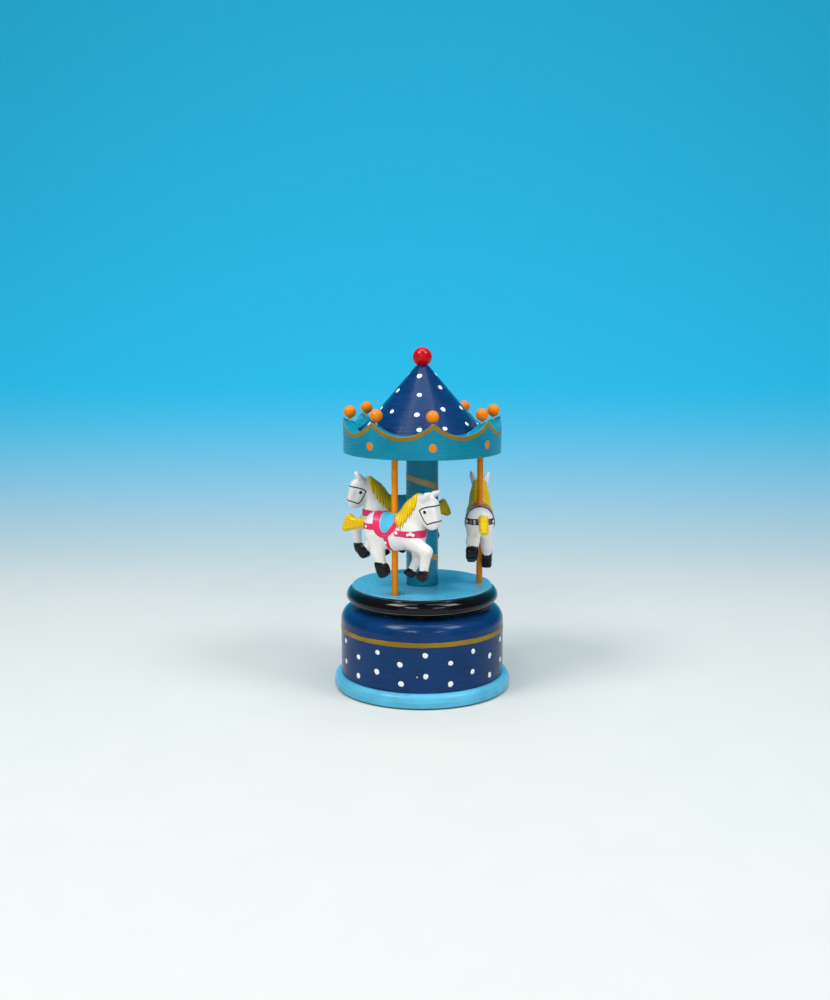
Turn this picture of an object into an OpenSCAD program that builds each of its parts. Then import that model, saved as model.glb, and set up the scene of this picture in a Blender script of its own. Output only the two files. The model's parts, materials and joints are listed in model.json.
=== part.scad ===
// Carousel music box in painted wood, wound by turning the platform by hand.
// Millimetres, +Z up, origin on the table under the middle of the base.

/* [Base] */
// Radius of the bottom disc
foot_r = 50; // [49:0.5:52]
// Height of the bottom disc, with the felt under it
foot_h = 8; // [7:0.5:9]
// Outer radius of the drum
drum_r = 46; // [45:0.5:47]
// Height of the drum's flat top above the table
drum_top = 46.4; // [46:0.2:48]
// Radius of the hollow in the drum
cavity_r = 38; // [37.8:0.1:38.5]

/* [Turntable] */
// Radius of the blue platform
platform_r = 39.4; // [39:0.2:40]
// Height of the platform's top above the table
platform_top = 58; // [57.6:0.2:60]
// Gap between the drum's top and the black rim
rim_gap = 3.4; // [3:0.2:4]
// Radius of the centre column
column_r = 9; // [8:0.5:10]
// Radius of each pole
pole_r = 1.75; // [1.5:0.05:2]
// Distance of each pole from the axis
pole_ring = 32.5; // [31:0.5:34]

/* [Canopy] */
// Outer radius of the scalloped crown
crown_r = 44; // [43:0.5:45]
// Height of the crown's underside above the table
crown_bottom = 133.4; // [132:0.2:136]
// Wall of the crown
crown_wall = 7; // [6:0.5:7.5]
// Number of scallops and of beads
scallops = 8; // [8:1:10]
// Radius of each bead
bead_r = 3.45; // [3:0.05:3.8]
// Radius of the ball on the roof
finial_r = 5.4; // [5:0.1:6]

/* [Horses] */
// Number of horses
horses = 3; // [3:1:3]
// How far each horse is turned on its pole, away from the ring's tangent, in degrees
horse_turn = [-3, -5, -17];
// How much higher each horse sits on its pole
horse_lift = [0, 0, 1];

/* [Movement] */
// Gear module of the whole train
gear_mod = 0.5; // [0.5:0.1:0.5]
// Teeth of the crown wheel on the winding shaft
wheel_teeth = 50; // [50:2:50]
// Teeth of the tune cylinder's pinion
cylinder_teeth = 16; // [16:2:16]
// Teeth of the governor's pinion
pinion_teeth = 10; // [10:2:10]
// Teeth of the governor's wheel
governor_teeth = 24; // [24:2:24]
// Threads on the worm
worm_starts = 2; // [2:1:2]
// Notes on the comb
notes = 18; // [12:1:18]

/* [Hidden] */
$fn = 96;

light_blue = [0.25, 0.62, 0.82];
navy = [0.06, 0.16, 0.42];
black = [0.04, 0.04, 0.05];
orange = [0.93, 0.49, 0.06];
pole_orange = [0.85, 0.42, 0.04];
red = [0.78, 0.04, 0.06];
steel = [0.62, 0.63, 0.65];
brass = [0.80, 0.64, 0.30];
raw_wood = [0.78, 0.62, 0.42];

// Base
felt_t = 0.8;
felt_r = foot_r - 3;
foot_edge_r = foot_r - drum_r;
spigot_h = 2;
spigot_r = cavity_r - 0.1;
drum_edge_r = 8;
ceiling = drum_top - drum_edge_r - 0.4;
shaft_hole_r = 4.5;
base_screw_ring = (drum_r + cavity_r) / 2;

// Turntable
rim_bottom = drum_top + rim_gap;
rim_widest = platform_r + 3.5;
rim_lip_r = 2;
rim_sweep_r = 5;
rim_step_z = platform_top - 1.2;
rim_edge_r = platform_r + 0.1;
rim_wall = 2;
platform_t = 4;
platform_floor = platform_top - platform_t;
socket_d = 3;
pole_start = -117;
pole_angles = [pole_start, pole_start + 120, pole_start + 237];
dowel_r = 3;

// Winding shaft, hub and washer
shaft_r = 2;
shaft_top = 53.5;
shaft_bottom = 21;
hub_r = 11;
hub_t = 2;
hub_bottom = rim_bottom - hub_t;
washer_t = 1.2;
hub_screw_ring = 8;

// Canopy
crown_floor = crown_bottom + 8.6;
crown_inner = crown_r - crown_wall;
bead_start = -82.3;
bead_ring = 40.2;
bead_z = 155.9;
scallop_r = 23.1;
scallop_low = 145.8;
crown_blank_top = 153.5;
cone_base_r = crown_inner - 0.15;
cone_top = 180.9;
cone_top_r = 3.5;
finial_z = 185.7;

// Movement, hung from the ceiling of the drum's hollow
bed_t = 1.8;
bed_bottom = ceiling - bed_t;
bed_r = cavity_r - 1;
housing_r = 13.2;
housing_h = 9;
housing_wall = 0.8;
tooth_up = 0.8 * gear_mod;
tooth_down = 1.2 * gear_mod;
tooth_share = 0.41;
wheel_r = gear_mod * wheel_teeth / 2;
pitch_z = 24.4;
cyl_pinion_r = gear_mod * cylinder_teeth / 2;
gov_pinion_r = gear_mod * pinion_teeth / 2;
gov_wheel_r = gear_mod * governor_teeth / 2;
cyl_z = pitch_z - cyl_pinion_r;
gov_z = pitch_z - gov_pinion_r;
pinion_w = 1.2;
cyl_r = 6;
cyl_x = [15.1, 30];
pin_r = 0.2;
pin_h = 0.4;
arbor_r = 0.8;
worm_x = -17;
worm_pitch_r = 1.8;
worm_z = gov_z + gov_wheel_r + worm_pitch_r;
worm_len = 9;
worm_share = 0.32;
comb_t = 1;
comb_gap = 0.3;

// ---------------------------------------------------------------- helpers

// Half the angle that a gear tooth takes at radius r, for an involute flank of 20 degrees.
function involute(a) = tan(a) * 180 / PI - a;
function tooth_half(r, rp, teeth) =
    let (rb = rp * cos(20), a = r > rb ? acos(rb / r) : 0)
    tooth_share * 180 / teeth + involute(20) - involute(a);

// A spur gear's outline. Its gaps are centred on the direction `gap`, in degrees.
function gear_outline(teeth, gap) =
    let (rp = gear_mod * teeth / 2,
         radii = [for (t = [0:4]) rp - tooth_down + t * (tooth_up + tooth_down) / 4])
    [for (k = [0:teeth - 1])
        let (mid = gap + (k + 0.5) * 360 / teeth)
        each concat(
            [for (t = [0:4]) let (a = mid - tooth_half(radii[t], rp, teeth))
                radii[t] * [cos(a), sin(a)]],
            [for (t = [4:-1:0]) let (a = mid + tooth_half(radii[t], rp, teeth))
                radii[t] * [cos(a), sin(a)]])];

// A spur gear on an axis along X, from x to x + width, with a gap at its top.
module gear_x(teeth, x, width, z, bore) {
    translate([x, 0, z]) rotate([90, 0, 90]) difference() {
        linear_extrude(width) polygon(gear_outline(teeth, 90));
        translate([0, 0, -1]) cylinder(r = bore, h = width + 2);
    }
}

module rod_x(r, x0, x1, z) {
    translate([x0, 0, z]) rotate([0, 90, 0]) cylinder(r = r, h = x1 - x0);
}

module rod_y(r, x, y0, y1, z) {
    translate([x, y0, z]) rotate([-90, 0, 0]) cylinder(r = r, h = y1 - y0);
}

// A block from corner a to corner b.
module block(a, b) {
    translate(a) cube(b - a);
}

// A screw with its point at +Z: a countersunk or round head with a cross slot, then the shank.
module screw(head_r, head_h, shank_r, length, countersunk) {
    difference() {
        union() {
            cylinder(r1 = head_r, r2 = countersunk ? shank_r : head_r, h = head_h);
            cylinder(r = shank_r, h = length - shank_r);
            translate([0, 0, length - shank_r]) cylinder(r1 = shank_r, r2 = 0.2, h = shank_r);
        }
        for (a = [0, 90]) rotate(a)
            translate([-head_r * 0.6, -0.25, -1]) cube([head_r * 1.2, 0.5, 1 + head_h * 0.35]);
    }
}

// ---------------------------------------------------------------- base

module felt_pad() {
    color("darkgreen") cylinder(r = felt_r, h = felt_t);
}

module base_screw_places() {
    for (i = [0:2]) rotate(30 + i * 120) translate([base_screw_ring, 0, felt_t]) children();
}

module base_plate() {
    color(light_blue) difference() {
        rotate_extrude() intersection() {
            translate([0, felt_t]) square([foot_r, foot_h + spigot_h]);
            union() {
                square([foot_r, foot_h - foot_edge_r]);
                square([foot_r - foot_edge_r, foot_h]);
                translate([foot_r - foot_edge_r, foot_h - foot_edge_r]) circle(foot_edge_r);
                square([spigot_r, foot_h + spigot_h]);
            }
        }
        base_screw_places() {
            translate([0, 0, -1]) cylinder(r = 1.3, h = foot_h + 2);
            cylinder(r1 = 2.65, r2 = 1.3, h = 1.65);
        }
    }
}

module base_screws() {
    color(steel) base_screw_places() screw(2.6, 1.6, 1.3, 20, true);
}

module drum() {
    color(navy) difference() {
        rotate_extrude() difference() {
            union() {
                translate([0, foot_h]) square([drum_r, drum_top - drum_edge_r - foot_h]);
                translate([0, foot_h]) square([drum_r - drum_edge_r, drum_top - foot_h]);
                translate([drum_r - drum_edge_r, drum_top - drum_edge_r]) circle(drum_edge_r);
            }
            translate([-1, foot_h - 1]) square([cavity_r + 1, ceiling - foot_h + 1]);
            translate([-1, 0]) square([shaft_hole_r + 1, drum_top + 1]);
        }
        base_screw_places() translate([0, 0, foot_h - felt_t - 1]) cylinder(r = 1.3, h = 14);
        bed_screw_places() cylinder(r = 1.2, h = 7.8);
    }
}

module thrust_washer() {
    color("white") translate([0, 0, drum_top]) difference() {
        cylinder(r = hub_r, h = washer_t);
        translate([0, 0, -1]) cylinder(r = shaft_hole_r, h = washer_t + 2);
    }
}

// ---------------------------------------------------------------- movement: fixed parts

module bed_screw_places() {
    for (p = [[20, -10], [-8, 17], [-12, -11]]) translate([p[0], p[1], bed_bottom]) children();
}

module bedplate() {
    color(steel) difference() {
        translate([0, 0, bed_bottom]) linear_extrude(bed_t) intersection() {
            translate([-24, -13]) square([58, 34]);
            circle(bed_r);
        }
        translate([0, 0, bed_bottom - 1]) cylinder(r = shaft_r + 0.1, h = bed_t + 2);
        bed_screw_places() translate([0, 0, -1]) cylinder(r = 1.2, h = bed_t + 2);
    }
}

module bedplate_screws() {
    color(steel) bed_screw_places() translate([0, 0, -1.4]) screw(2.2, 1.4, 1.2, 9, false);
}

module spring_housing() {
    color(brass) translate([0, 0, bed_bottom - housing_h]) difference() {
        cylinder(r = housing_r, h = housing_h);
        translate([0, 0, housing_wall]) cylinder(r = housing_r - housing_wall, h = housing_h);
        translate([0, 0, -1]) cylinder(r = shaft_r + 0.2, h = housing_h);
    }
}

// A flat spiral strip, wound from the shaft out to the housing's wall.
module mainspring() {
    turns = 7;
    step = 15;
    first_r = shaft_r + 0.7;
    growth = (housing_r - housing_wall - 0.5 - first_r) / (turns * 360);
    strip = 0.35;
    edge = [for (a = [0:step:turns * 360]) [a, first_r + growth * a]];
    color(steel) translate([0, 0, bed_bottom - housing_h + 1.4]) linear_extrude(housing_h - 2)
        polygon(concat(
            [for (e = edge) e[1] * [cos(e[0]), sin(e[0])]],
            [for (i = [len(edge) - 1:-1:0])
                (edge[i][1] + strip) * [cos(edge[i][0]), sin(edge[i][0])]]));
}

comb_y = cyl_r + pin_h + comb_gap;
comb_root = comb_y + 8;
comb_back = 20;

module comb_screw_places() {
    for (x = [cyl_x[0] + 3, cyl_x[1] - 3]) translate([x, 17.5, cyl_z - comb_t / 2]) children();
}

module comb_rest() {
    color(steel) difference() {
        block([cyl_x[0], comb_root + 0.4, cyl_z + comb_t / 2], [cyl_x[1], comb_back, bed_bottom]);
        comb_screw_places() cylinder(r = 0.9, h = 8);
    }
}

// One steel reed for each note, longer for the low ones.
module comb() {
    pitch = (cyl_x[1] - cyl_x[0]) / notes;
    color("silver") difference() {
        block([cyl_x[0], comb_y, cyl_z - comb_t / 2], [cyl_x[1], comb_back, cyl_z + comb_t / 2]);
        for (i = [1:notes - 1])
            block([cyl_x[0] + i * pitch - 0.1, comb_y - 1, cyl_z - comb_t],
                  [cyl_x[0] + i * pitch + 0.1, comb_root - i * 3 / notes, cyl_z + comb_t]);
        comb_screw_places() translate([0, 0, -1]) cylinder(r = 0.9, h = comb_t + 2);
    }
}

module comb_screws() {
    color(brass) comb_screw_places() translate([0, 0, -1]) screw(1.7, 1, 0.9, 7, false);
}

// A bearing plate for the tune cylinder's arbor.
module cylinder_bracket(x, t) {
    color(brass) difference() {
        union() {
            block([x, -3, cyl_z], [x + t, 3, bed_bottom]);
            rod_x(3, x, x + t, cyl_z);
        }
        rod_x(arbor_r + 0.04, x - 1, x + t + 1, cyl_z);
    }
}

// Two lugs for the governor's arbor and two for the worm, on one foot under the bedplate.
module governor_frame() {
    foot_z = bed_bottom - 1.2;
    color("ivory") difference() {
        union() {
            block([-20.6, -8.4, foot_z], [-13.7, 16, bed_bottom]);
            block([-14.5, -2, gov_z - 2], [-13.7, 2, bed_bottom]);
            block([-20.6, -2, gov_z - 2], [-19.6, 2, bed_bottom]);
            block([worm_x - 2, -8.4, worm_z - 2], [worm_x + 2, -7.4, bed_bottom]);
            block([worm_x - 2, 15, worm_z - 2], [worm_x + 2, 16, bed_bottom]);
        }
        rod_x(arbor_r + 0.04, -22, -12, gov_z);
        rod_y(arbor_r + 0.04, worm_x, -10, 18, worm_z);
    }
}

// ---------------------------------------------------------------- movement: turning parts

module cylinder_arbor() {
    color(steel) rod_x(arbor_r, wheel_r - 1.2, cyl_x[1] + 2.6, cyl_z);
}

module tune_cylinder() {
    color(brass) difference() {
        rod_x(cyl_r, cyl_x[0], cyl_x[1], cyl_z);
        rod_x(arbor_r, cyl_x[0] - 1, cyl_x[1] + 1, cyl_z);
    }
}

// The tune: four pins on each note's track, set out by a fixed step so that no two tracks match.
module cylinder_pins() {
    pitch = (cyl_x[1] - cyl_x[0]) / notes;
    color(brass) for (i = [0:notes - 1], k = [0:3])
        translate([cyl_x[0] + (i + 0.5) * pitch, 0, cyl_z])
            rotate([i * 137.5 + k * (83 + i % 5), 0, 0])
                translate([0, 0, cyl_r - 0.1]) cylinder(r = pin_r, h = pin_h + 0.1, $fn = 16);
}

module cylinder_pinion() {
    color(brass) gear_x(cylinder_teeth, wheel_r - pinion_w / 2, pinion_w, cyl_z, arbor_r);
}

// The governor's arbor with its pinion, cut from one bar.
module governor_arbor() {
    color(steel) {
        rod_x(arbor_r, -21, -wheel_r + 1.2, gov_z);
        gear_x(pinion_teeth, -wheel_r - pinion_w / 2, pinion_w, gov_z, arbor_r - 0.2);
    }
}

module governor_wheel() {
    color("ivory") gear_x(governor_teeth, worm_x - 0.4, 0.8, gov_z, arbor_r);
}

// The worm's outline across its axis: each thread is a bump, with one of them centred on +Y.
function worm_radius(u) =
    let (pitch = PI * gear_mod, root = worm_pitch_r - tooth_down, tip = worm_pitch_r + tooth_up,
         high = pitch * worm_share / 2 - tooth_up * tan(20),
         low = pitch * worm_share / 2 + tooth_down * tan(20))
    u <= high ? tip : u >= low ? root : tip + (root - tip) * (u - high) / (low - high);

module worm_threads() {
    pitch = PI * gear_mod;
    lead = pitch * worm_starts;
    twist = 360 * worm_len / lead;
    outline = [for (a = [0:10:350])
        let (u = abs(((a + 180 / worm_starts) * worm_starts / 360 % 1) - 0.5) * pitch)
        worm_radius(u) * [cos(a + 90), sin(a + 90)]];
    rotate([-90, 0, 0]) rotate(twist / 2)
        linear_extrude(worm_len, center = true, twist = twist, slices = round(twist / 15), $fn = 36)
            polygon(outline);
}

module governor_worm() {
    color(steel) {
        rod_y(arbor_r, worm_x, -8.8, 16.4, worm_z);
        translate([worm_x, 0, worm_z]) worm_threads();
    }
}

// The two-bladed air brake on the worm's shaft.
module governor_fly() {
    color("ivory") difference() {
        union() {
            rod_y(1.6, worm_x, 9.5, 13.5, worm_z);
            block([worm_x - 4.6, 9.5, worm_z - 0.3], [worm_x + 4.6, 13.5, worm_z + 0.3]);
        }
        rod_y(arbor_r, worm_x, 9, 14, worm_z);
    }
}

module winding_shaft() {
    color(steel) translate([0, 0, shaft_bottom]) cylinder(r = shaft_r, h = shaft_top - shaft_bottom);
}

// The crown wheel: straight teeth that point down, at the rim of a disc on the winding shaft.
module crown_wheel() {
    disc_bottom = pitch_z + tooth_down;
    pitch = PI * gear_mod;
    half = pitch * tooth_share / 2;
    color(brass) difference() {
        union() {
            translate([0, 0, disc_bottom]) cylinder(r = wheel_r + 0.9, h = 1.4);
            translate([0, 0, disc_bottom - 2]) cylinder(r = 4, h = 4);
            for (k = [0:wheel_teeth - 1]) rotate(k * 360 / wheel_teeth)
                translate([wheel_r - 1, 0, pitch_z]) rotate([90, 0, 90]) linear_extrude(1.9)
                    polygon([[-half + tooth_up * tan(20), -tooth_up],
                             [half - tooth_up * tan(20), -tooth_up],
                             [half + tooth_down * tan(20), tooth_down + 0.2],
                             [-half - tooth_down * tan(20), tooth_down + 0.2]]);
        }
        translate([0, 0, disc_bottom - 3]) cylinder(r = shaft_r, h = 8);
    }
}

// ---------------------------------------------------------------- turntable

module hub_screw_places() {
    for (i = [0:2]) rotate(i * 120) translate([hub_screw_ring, 0, hub_bottom]) children();
}

module turntable_hub() {
    color(steel) difference() {
        union() {
            translate([0, 0, hub_bottom]) cylinder(r = hub_r, h = hub_t);
            translate([0, 0, rim_bottom]) cylinder(r = 4, h = platform_floor - rim_bottom);
        }
        translate([0, 0, hub_bottom - 1]) cylinder(r = shaft_r, h = 20);
        hub_screw_places() {
            translate([0, 0, -1]) cylinder(r = 1, h = hub_t + 2);
            cylinder(r1 = 2.05, r2 = 1, h = 1.05);
        }
    }
}

module hub_screws() {
    color(steel) hub_screw_places() screw(2, 1, 1, 5.5, true);
}

// A round-headed nail under the rim, which keeps the platform from tipping on to the drum.
module glide_stud() {
    color(black) rotate(-50) translate([37.6, 0, rim_bottom]) {
        intersection() {
            sphere(2);
            translate([-3, -3, -4]) cube([6, 6, 4]);
        }
        cylinder(r = 0.6, h = 2.5);
    }
}

// The rim: a round lower lip, a wider sweep up to a thin step, and a short upright edge.
module turntable_rim() {
    widest_z = rim_bottom + rim_lip_r;
    color(black) difference() {
        rotate_extrude() difference() {
            union() {
                translate([0, rim_bottom]) square([rim_widest - rim_lip_r, rim_lip_r]);
                intersection() {
                    translate([rim_widest - rim_lip_r, widest_z]) circle(rim_lip_r);
                    translate([0, rim_bottom]) square([rim_widest, rim_lip_r]);
                }
                intersection() {
                    translate([rim_widest - rim_sweep_r, widest_z]) circle(rim_sweep_r);
                    translate([0, widest_z]) square([rim_widest, rim_step_z - widest_z]);
                }
                translate([0, widest_z]) square([rim_widest - rim_sweep_r, rim_step_z - widest_z]);
                translate([0, rim_bottom + 1]) square([rim_edge_r, platform_top - 0.4 - rim_bottom - 1]);
            }
            translate([-1, platform_floor]) square([platform_r - rim_wall + 1, platform_t + 1]);
            translate([-1, 0]) square([5, platform_top]);
        }
        hub_screw_places() cylinder(r = 1, h = 5.5);
        rotate(-50) translate([37.6, 0, rim_bottom - 1]) cylinder(r = 0.6, h = 3.5);
    }
}

module pole_places() {
    for (a = pole_angles) rotate(a) translate([pole_ring, 0, 0]) children();
}

module platform() {
    color(light_blue) difference() {
        union() {
            translate([0, 0, platform_floor]) cylinder(r = platform_r - rim_wall, h = platform_t);
            translate([0, 0, platform_top - 0.4]) cylinder(r = platform_r, h = 0.4);
        }
        translate([0, 0, platform_floor - 1]) cylinder(r = dowel_r, h = platform_t + 2);
        pole_places() translate([0, 0, platform_top - socket_d]) cylinder(r = pole_r, h = 10);
    }
}

module lower_dowel() {
    color(raw_wood) translate([0, 0, platform_floor]) cylinder(r = dowel_r, h = 14);
}

module upper_dowel() {
    color(raw_wood) translate([0, 0, crown_bottom - 10]) cylinder(r = dowel_r, h = 24);
}

module column() {
    color(light_blue) difference() {
        translate([0, 0, platform_top]) cylinder(r = column_r, h = crown_bottom - platform_top);
        translate([0, 0, platform_top - 1]) cylinder(r = dowel_r, h = 11);
        translate([0, 0, crown_bottom - 10]) cylinder(r = dowel_r, h = 12);
    }
}

module pole(i) {
    color(pole_orange) rotate(pole_angles[i])
        translate([pole_ring, 0, platform_top - socket_d])
            cylinder(r = pole_r, h = crown_bottom - platform_top + 2 * socket_d);
}

// ---------------------------------------------------------------- horses

// Each limb is a chain of balls [x forward, y left, z above the platform, radius].
horse_limbs = [
    // barrel of the body, from rump to chest
    [[-10, 0, 37.2, 8], [0, 0, 35.2, 9.4], [9.6, 0, 35.2, 8.7]],
    // neck
    [[10, 0, 40.5, 7.2], [12.6, 0, 47.2, 5.7], [16.3, 0, 52.4, 4.3]],
    // head, from poll to muzzle
    [[17.8, 0, 52.6, 4.6], [21.6, 0, 49.8, 4.6], [23.6, 0, 42.2, 3.8]],
    // tail
    [[-16.6, 0, 38.2, 2.6], [-24, 0, 37.6, 2.9], [-29, 0, 37.7, 4.1]],
    // right foreleg, raised
    [[13, -3.8, 31, 4.8], [23, -4.9, 27, 3.3], [21, -5.2, 17.6, 2.7], [19.9, -5.2, 14, 3]],
    // left foreleg, bent under
    [[11.6, 3.8, 30, 4.8], [12.6, 4.5, 21.4, 3.1], [7.4, 4.6, 13.2, 3]],
    // right hind leg
    [[-10, -3.1, 32, 5.6], [-8.4, -3.9, 22.4, 3.6], [-5, -4.2, 14.2, 3.6]],
    // left hind leg, stretched back
    [[-11, 3.1, 32.4, 5.6], [-16.6, 4, 26.4, 3.6], [-22.2, 4.2, 21.4, 3.2]]];
// Width of a body part over its height
horse_flat = [0.82, 0.8, 0.84, 0.62, 1, 1, 0.85, 0.85];
ear_tip = [23.2, 4.7, 59.2];
ear_root = [19.8, 3, 55.6];

// A ball chain hulled pair by pair, with its width scaled by `flat` about the limb's own middle.
module limb(chain, flat) {
    for (i = [0:len(chain) - 2]) hull() {
        for (b = [chain[i], chain[i + 1]]) translate([b[0], b[1], b[2]])
            scale([1, flat, 1]) sphere(b[3], $fn = 20);
    }
}

module horse_shape() {
    difference() {
        union() {
            for (i = [0:len(horse_limbs) - 1]) limb(horse_limbs[i], horse_flat[i]);
            for (side = [-1, 1]) hull() {
                translate([ear_root[0], side * ear_root[1], ear_root[2]]) sphere(1.7, $fn = 12.5);
                translate([ear_tip[0], side * ear_tip[1], ear_tip[2]]) sphere(1, $fn = 12.5);
            }
            // saddle
            hull() for (x = [-7, 2]) translate([x, 0, 37.9]) scale([1, 0.96, 1]) sphere(7.9, $fn = 24);
        }
        cylinder(r = pole_r + 0.1, h = 80, $fn = 24);
    }
}

module horse(i) {
    color("white") rotate(pole_angles[i]) translate([pole_ring, 0, platform_top + horse_lift[i]])
        rotate(90 + horse_turn[i]) horse_shape();
}

// ---------------------------------------------------------------- canopy

module bead_places() {
    for (i = [0:scallops - 1]) rotate(bead_start + i * 360 / scallops)
        translate([bead_ring, 0, bead_z]) children();
}

module crown() {
    color(light_blue) difference() {
        translate([0, 0, crown_bottom]) cylinder(r = crown_r, h = crown_blank_top - crown_bottom);
        translate([0, 0, crown_floor]) cylinder(r = crown_inner, h = 30);
        translate([0, 0, crown_bottom - 1]) cylinder(r = dowel_r, h = 20);
        // each scallop is a round cut across the wall, midway between two beads
        for (i = [0:scallops - 1]) rotate(bead_start + (i + 0.5) * 360 / scallops)
            translate([crown_inner - 6, 0, scallop_low + scallop_r]) rotate([0, 90, 0])
                cylinder(r = scallop_r, h = crown_wall + 12);
        pole_places() translate([0, 0, crown_bottom - 1]) cylinder(r = pole_r, h = socket_d + 1);
        bead_places() translate([0, 0, -bead_r - 5]) cylinder(r = 0.8, h = 10);
    }
}

module roof_cone() {
    color(navy) difference() {
        translate([0, 0, crown_floor])
            cylinder(r1 = cone_base_r, r2 = cone_top_r, h = cone_top - crown_floor);
        translate([0, 0, crown_floor - 1]) cylinder(r = dowel_r, h = 8);
        translate([0, 0, cone_top - 6]) cylinder(r = 1.25, h = 10);
    }
}

module finial_pin() {
    color(raw_wood) translate([0, 0, cone_top - 6]) cylinder(r = 1.25, h = 9);
}

module finial_ball() {
    color(red) difference() {
        translate([0, 0, finial_z]) sphere(finial_r);
        translate([0, 0, cone_top - 6]) cylinder(r = 1.25, h = 9);
        translate([0, 0, cone_top - 8]) cylinder(r = 6, h = 8);
    }
}

module bead_pins() {
    color(raw_wood) bead_places() translate([0, 0, -bead_r - 5]) cylinder(r = 0.8, h = bead_r + 6);
}

module bead(i) {
    color(orange) rotate(bead_start + i * 360 / scallops) translate([bead_ring, 0, bead_z])
        difference() {
            sphere(bead_r);
            translate([0, 0, -bead_r - 5]) cylinder(r = 0.8, h = bead_r + 6);
        }
}

// ---------------------------------------------------------------- nodes

felt_pad();
base_plate();
base_screws();
drum();
thrust_washer();
bedplate();
bedplate_screws();
spring_housing();
mainspring();
comb_rest();
comb();
comb_screws();
cylinder_bracket(13.8, 1);  // cylinder_bracket_inner
cylinder_bracket(cyl_x[1] + 0.6, 1.4);  // cylinder_bracket_outer
governor_frame();
cylinder_arbor();
tune_cylinder();
cylinder_pins();
cylinder_pinion();
governor_arbor();
governor_wheel();
governor_worm();
governor_fly();
winding_shaft();
crown_wheel();
turntable_hub();
hub_screws();
glide_stud();
turntable_rim();
platform();
lower_dowel();
column();
upper_dowel();
pole(0);  // pole_1
pole(1);  // pole_2
pole(2);  // pole_3
horse(0);  // horse_1
horse(1);  // horse_2
horse(2);  // horse_3
crown();
roof_cone();
finial_pin();
finial_ball();
bead_pins();
bead(0);  // bead_1
bead(1);  // bead_2
bead(2);  // bead_3
bead(3);  // bead_4
bead(4);  // bead_5
bead(5);  // bead_6
bead(6);  // bead_7
bead(7);  // bead_8
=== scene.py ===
"""Looks of the carousel music box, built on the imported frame. Lengths in the making code are millimetres."""
import json
import math

import bpy
import numpy as np
import openvdb
from mathutils import Matrix, Vector


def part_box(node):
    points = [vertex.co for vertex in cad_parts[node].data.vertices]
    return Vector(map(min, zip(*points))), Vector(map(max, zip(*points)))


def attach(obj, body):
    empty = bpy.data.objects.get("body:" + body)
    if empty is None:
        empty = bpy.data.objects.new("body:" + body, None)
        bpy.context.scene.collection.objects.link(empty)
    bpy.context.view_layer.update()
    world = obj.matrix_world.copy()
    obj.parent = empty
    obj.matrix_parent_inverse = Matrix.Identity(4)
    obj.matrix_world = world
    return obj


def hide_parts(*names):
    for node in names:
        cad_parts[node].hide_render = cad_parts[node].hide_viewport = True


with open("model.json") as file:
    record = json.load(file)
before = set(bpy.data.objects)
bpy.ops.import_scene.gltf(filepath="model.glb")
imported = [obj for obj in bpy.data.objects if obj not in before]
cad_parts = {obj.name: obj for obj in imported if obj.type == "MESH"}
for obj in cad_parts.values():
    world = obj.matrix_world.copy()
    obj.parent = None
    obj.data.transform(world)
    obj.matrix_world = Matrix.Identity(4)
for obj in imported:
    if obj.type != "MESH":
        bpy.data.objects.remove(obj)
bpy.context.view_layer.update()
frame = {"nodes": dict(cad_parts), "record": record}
MM = 0.001
rng = np.random.default_rng(20260)


def mm_box(node):
    low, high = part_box(node)
    return np.array(low) / MM, np.array(high) / MM


# ------------------------------------------------------------------ camera, light, floor

def set_stage():
    scene = bpy.context.scene
    scene.view_settings.view_transform = "Standard"
    camera_data = bpy.data.cameras.new("camera")
    camera_data.lens = 42.23
    camera_data.sensor_width = 36
    camera_data.clip_start = 0.01
    camera_data.clip_end = 50
    camera = bpy.data.objects.new("camera", camera_data)
    camera.location = (0.0, -0.6503, 0.2089)
    camera.rotation_euler = (math.radians(81.0), 0.0, math.radians(0.356))
    scene.collection.objects.link(camera)
    scene.camera = camera

    # a sweep: flat floor, then a wide curve up into a wall
    depth, height, radius, width = 0.35, 2.6, 1.1, 6.0
    path = [(-4.0, 0.0), (depth, 0.0)]
    path += [(depth + radius * math.sin(a), radius - radius * math.cos(a))
             for a in np.linspace(0.05, math.pi / 2, 24)]
    path += [(depth + radius, height)]
    verts = [(x, y, z) for y, z in path for x in (-width, width)]
    faces = [(2 * i, 2 * i + 1, 2 * i + 3, 2 * i + 2) for i in range(len(path) - 1)]
    floor = new_object("floor", verts, faces)
    floor.data.materials.append(backdrop_material())

    world = bpy.data.worlds.new("studio")
    world.use_nodes = True
    scene.world = world
    background = world.node_tree.nodes["Background"]
    background.inputs["Color"].default_value = (0.80, 0.88, 0.95, 1)
    background.inputs["Strength"].default_value = 0.14

    area_light("box_left", (-0.60, -0.42, 1.10), (0.42, 0.42), 8.5, (1.0, 0.985, 0.96))
    area_light("box_right", (0.64, -0.36, 1.05), (0.38, 0.38), 5.5, (0.97, 0.985, 1.0))
    area_light("strip_left", (-0.27, -0.85, 0.72), (0.32, 0.09), 2.0, (1.0, 1.0, 1.0))
    area_light("strip_right", (0.42, -0.82, 0.66), (0.28, 0.09), 1.0, (1.0, 1.0, 1.0))
    area_light("overhead", (0.0, 0.05, 1.25), (0.9, 0.7), 6.5, (1.0, 1.0, 1.0))
    area_light("low_fill", (0.0, -1.6, 0.40), (2.4, 0.8), 3.4, (1.0, 0.99, 0.97))


def area_light(name, place, size, power, color):
    data = bpy.data.lights.new(name, "AREA")
    data.shape = "RECTANGLE"
    data.size, data.size_y = size
    data.energy = power
    data.color = color
    light = bpy.data.objects.new(name, data)
    light.location = place
    aim = Vector((0, 0, 0.10)) - Vector(place)
    light.rotation_euler = aim.to_track_quat("-Z", "Y").to_euler()
    bpy.context.scene.collection.objects.link(light)


# ------------------------------------------------------------------ mesh tools

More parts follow.
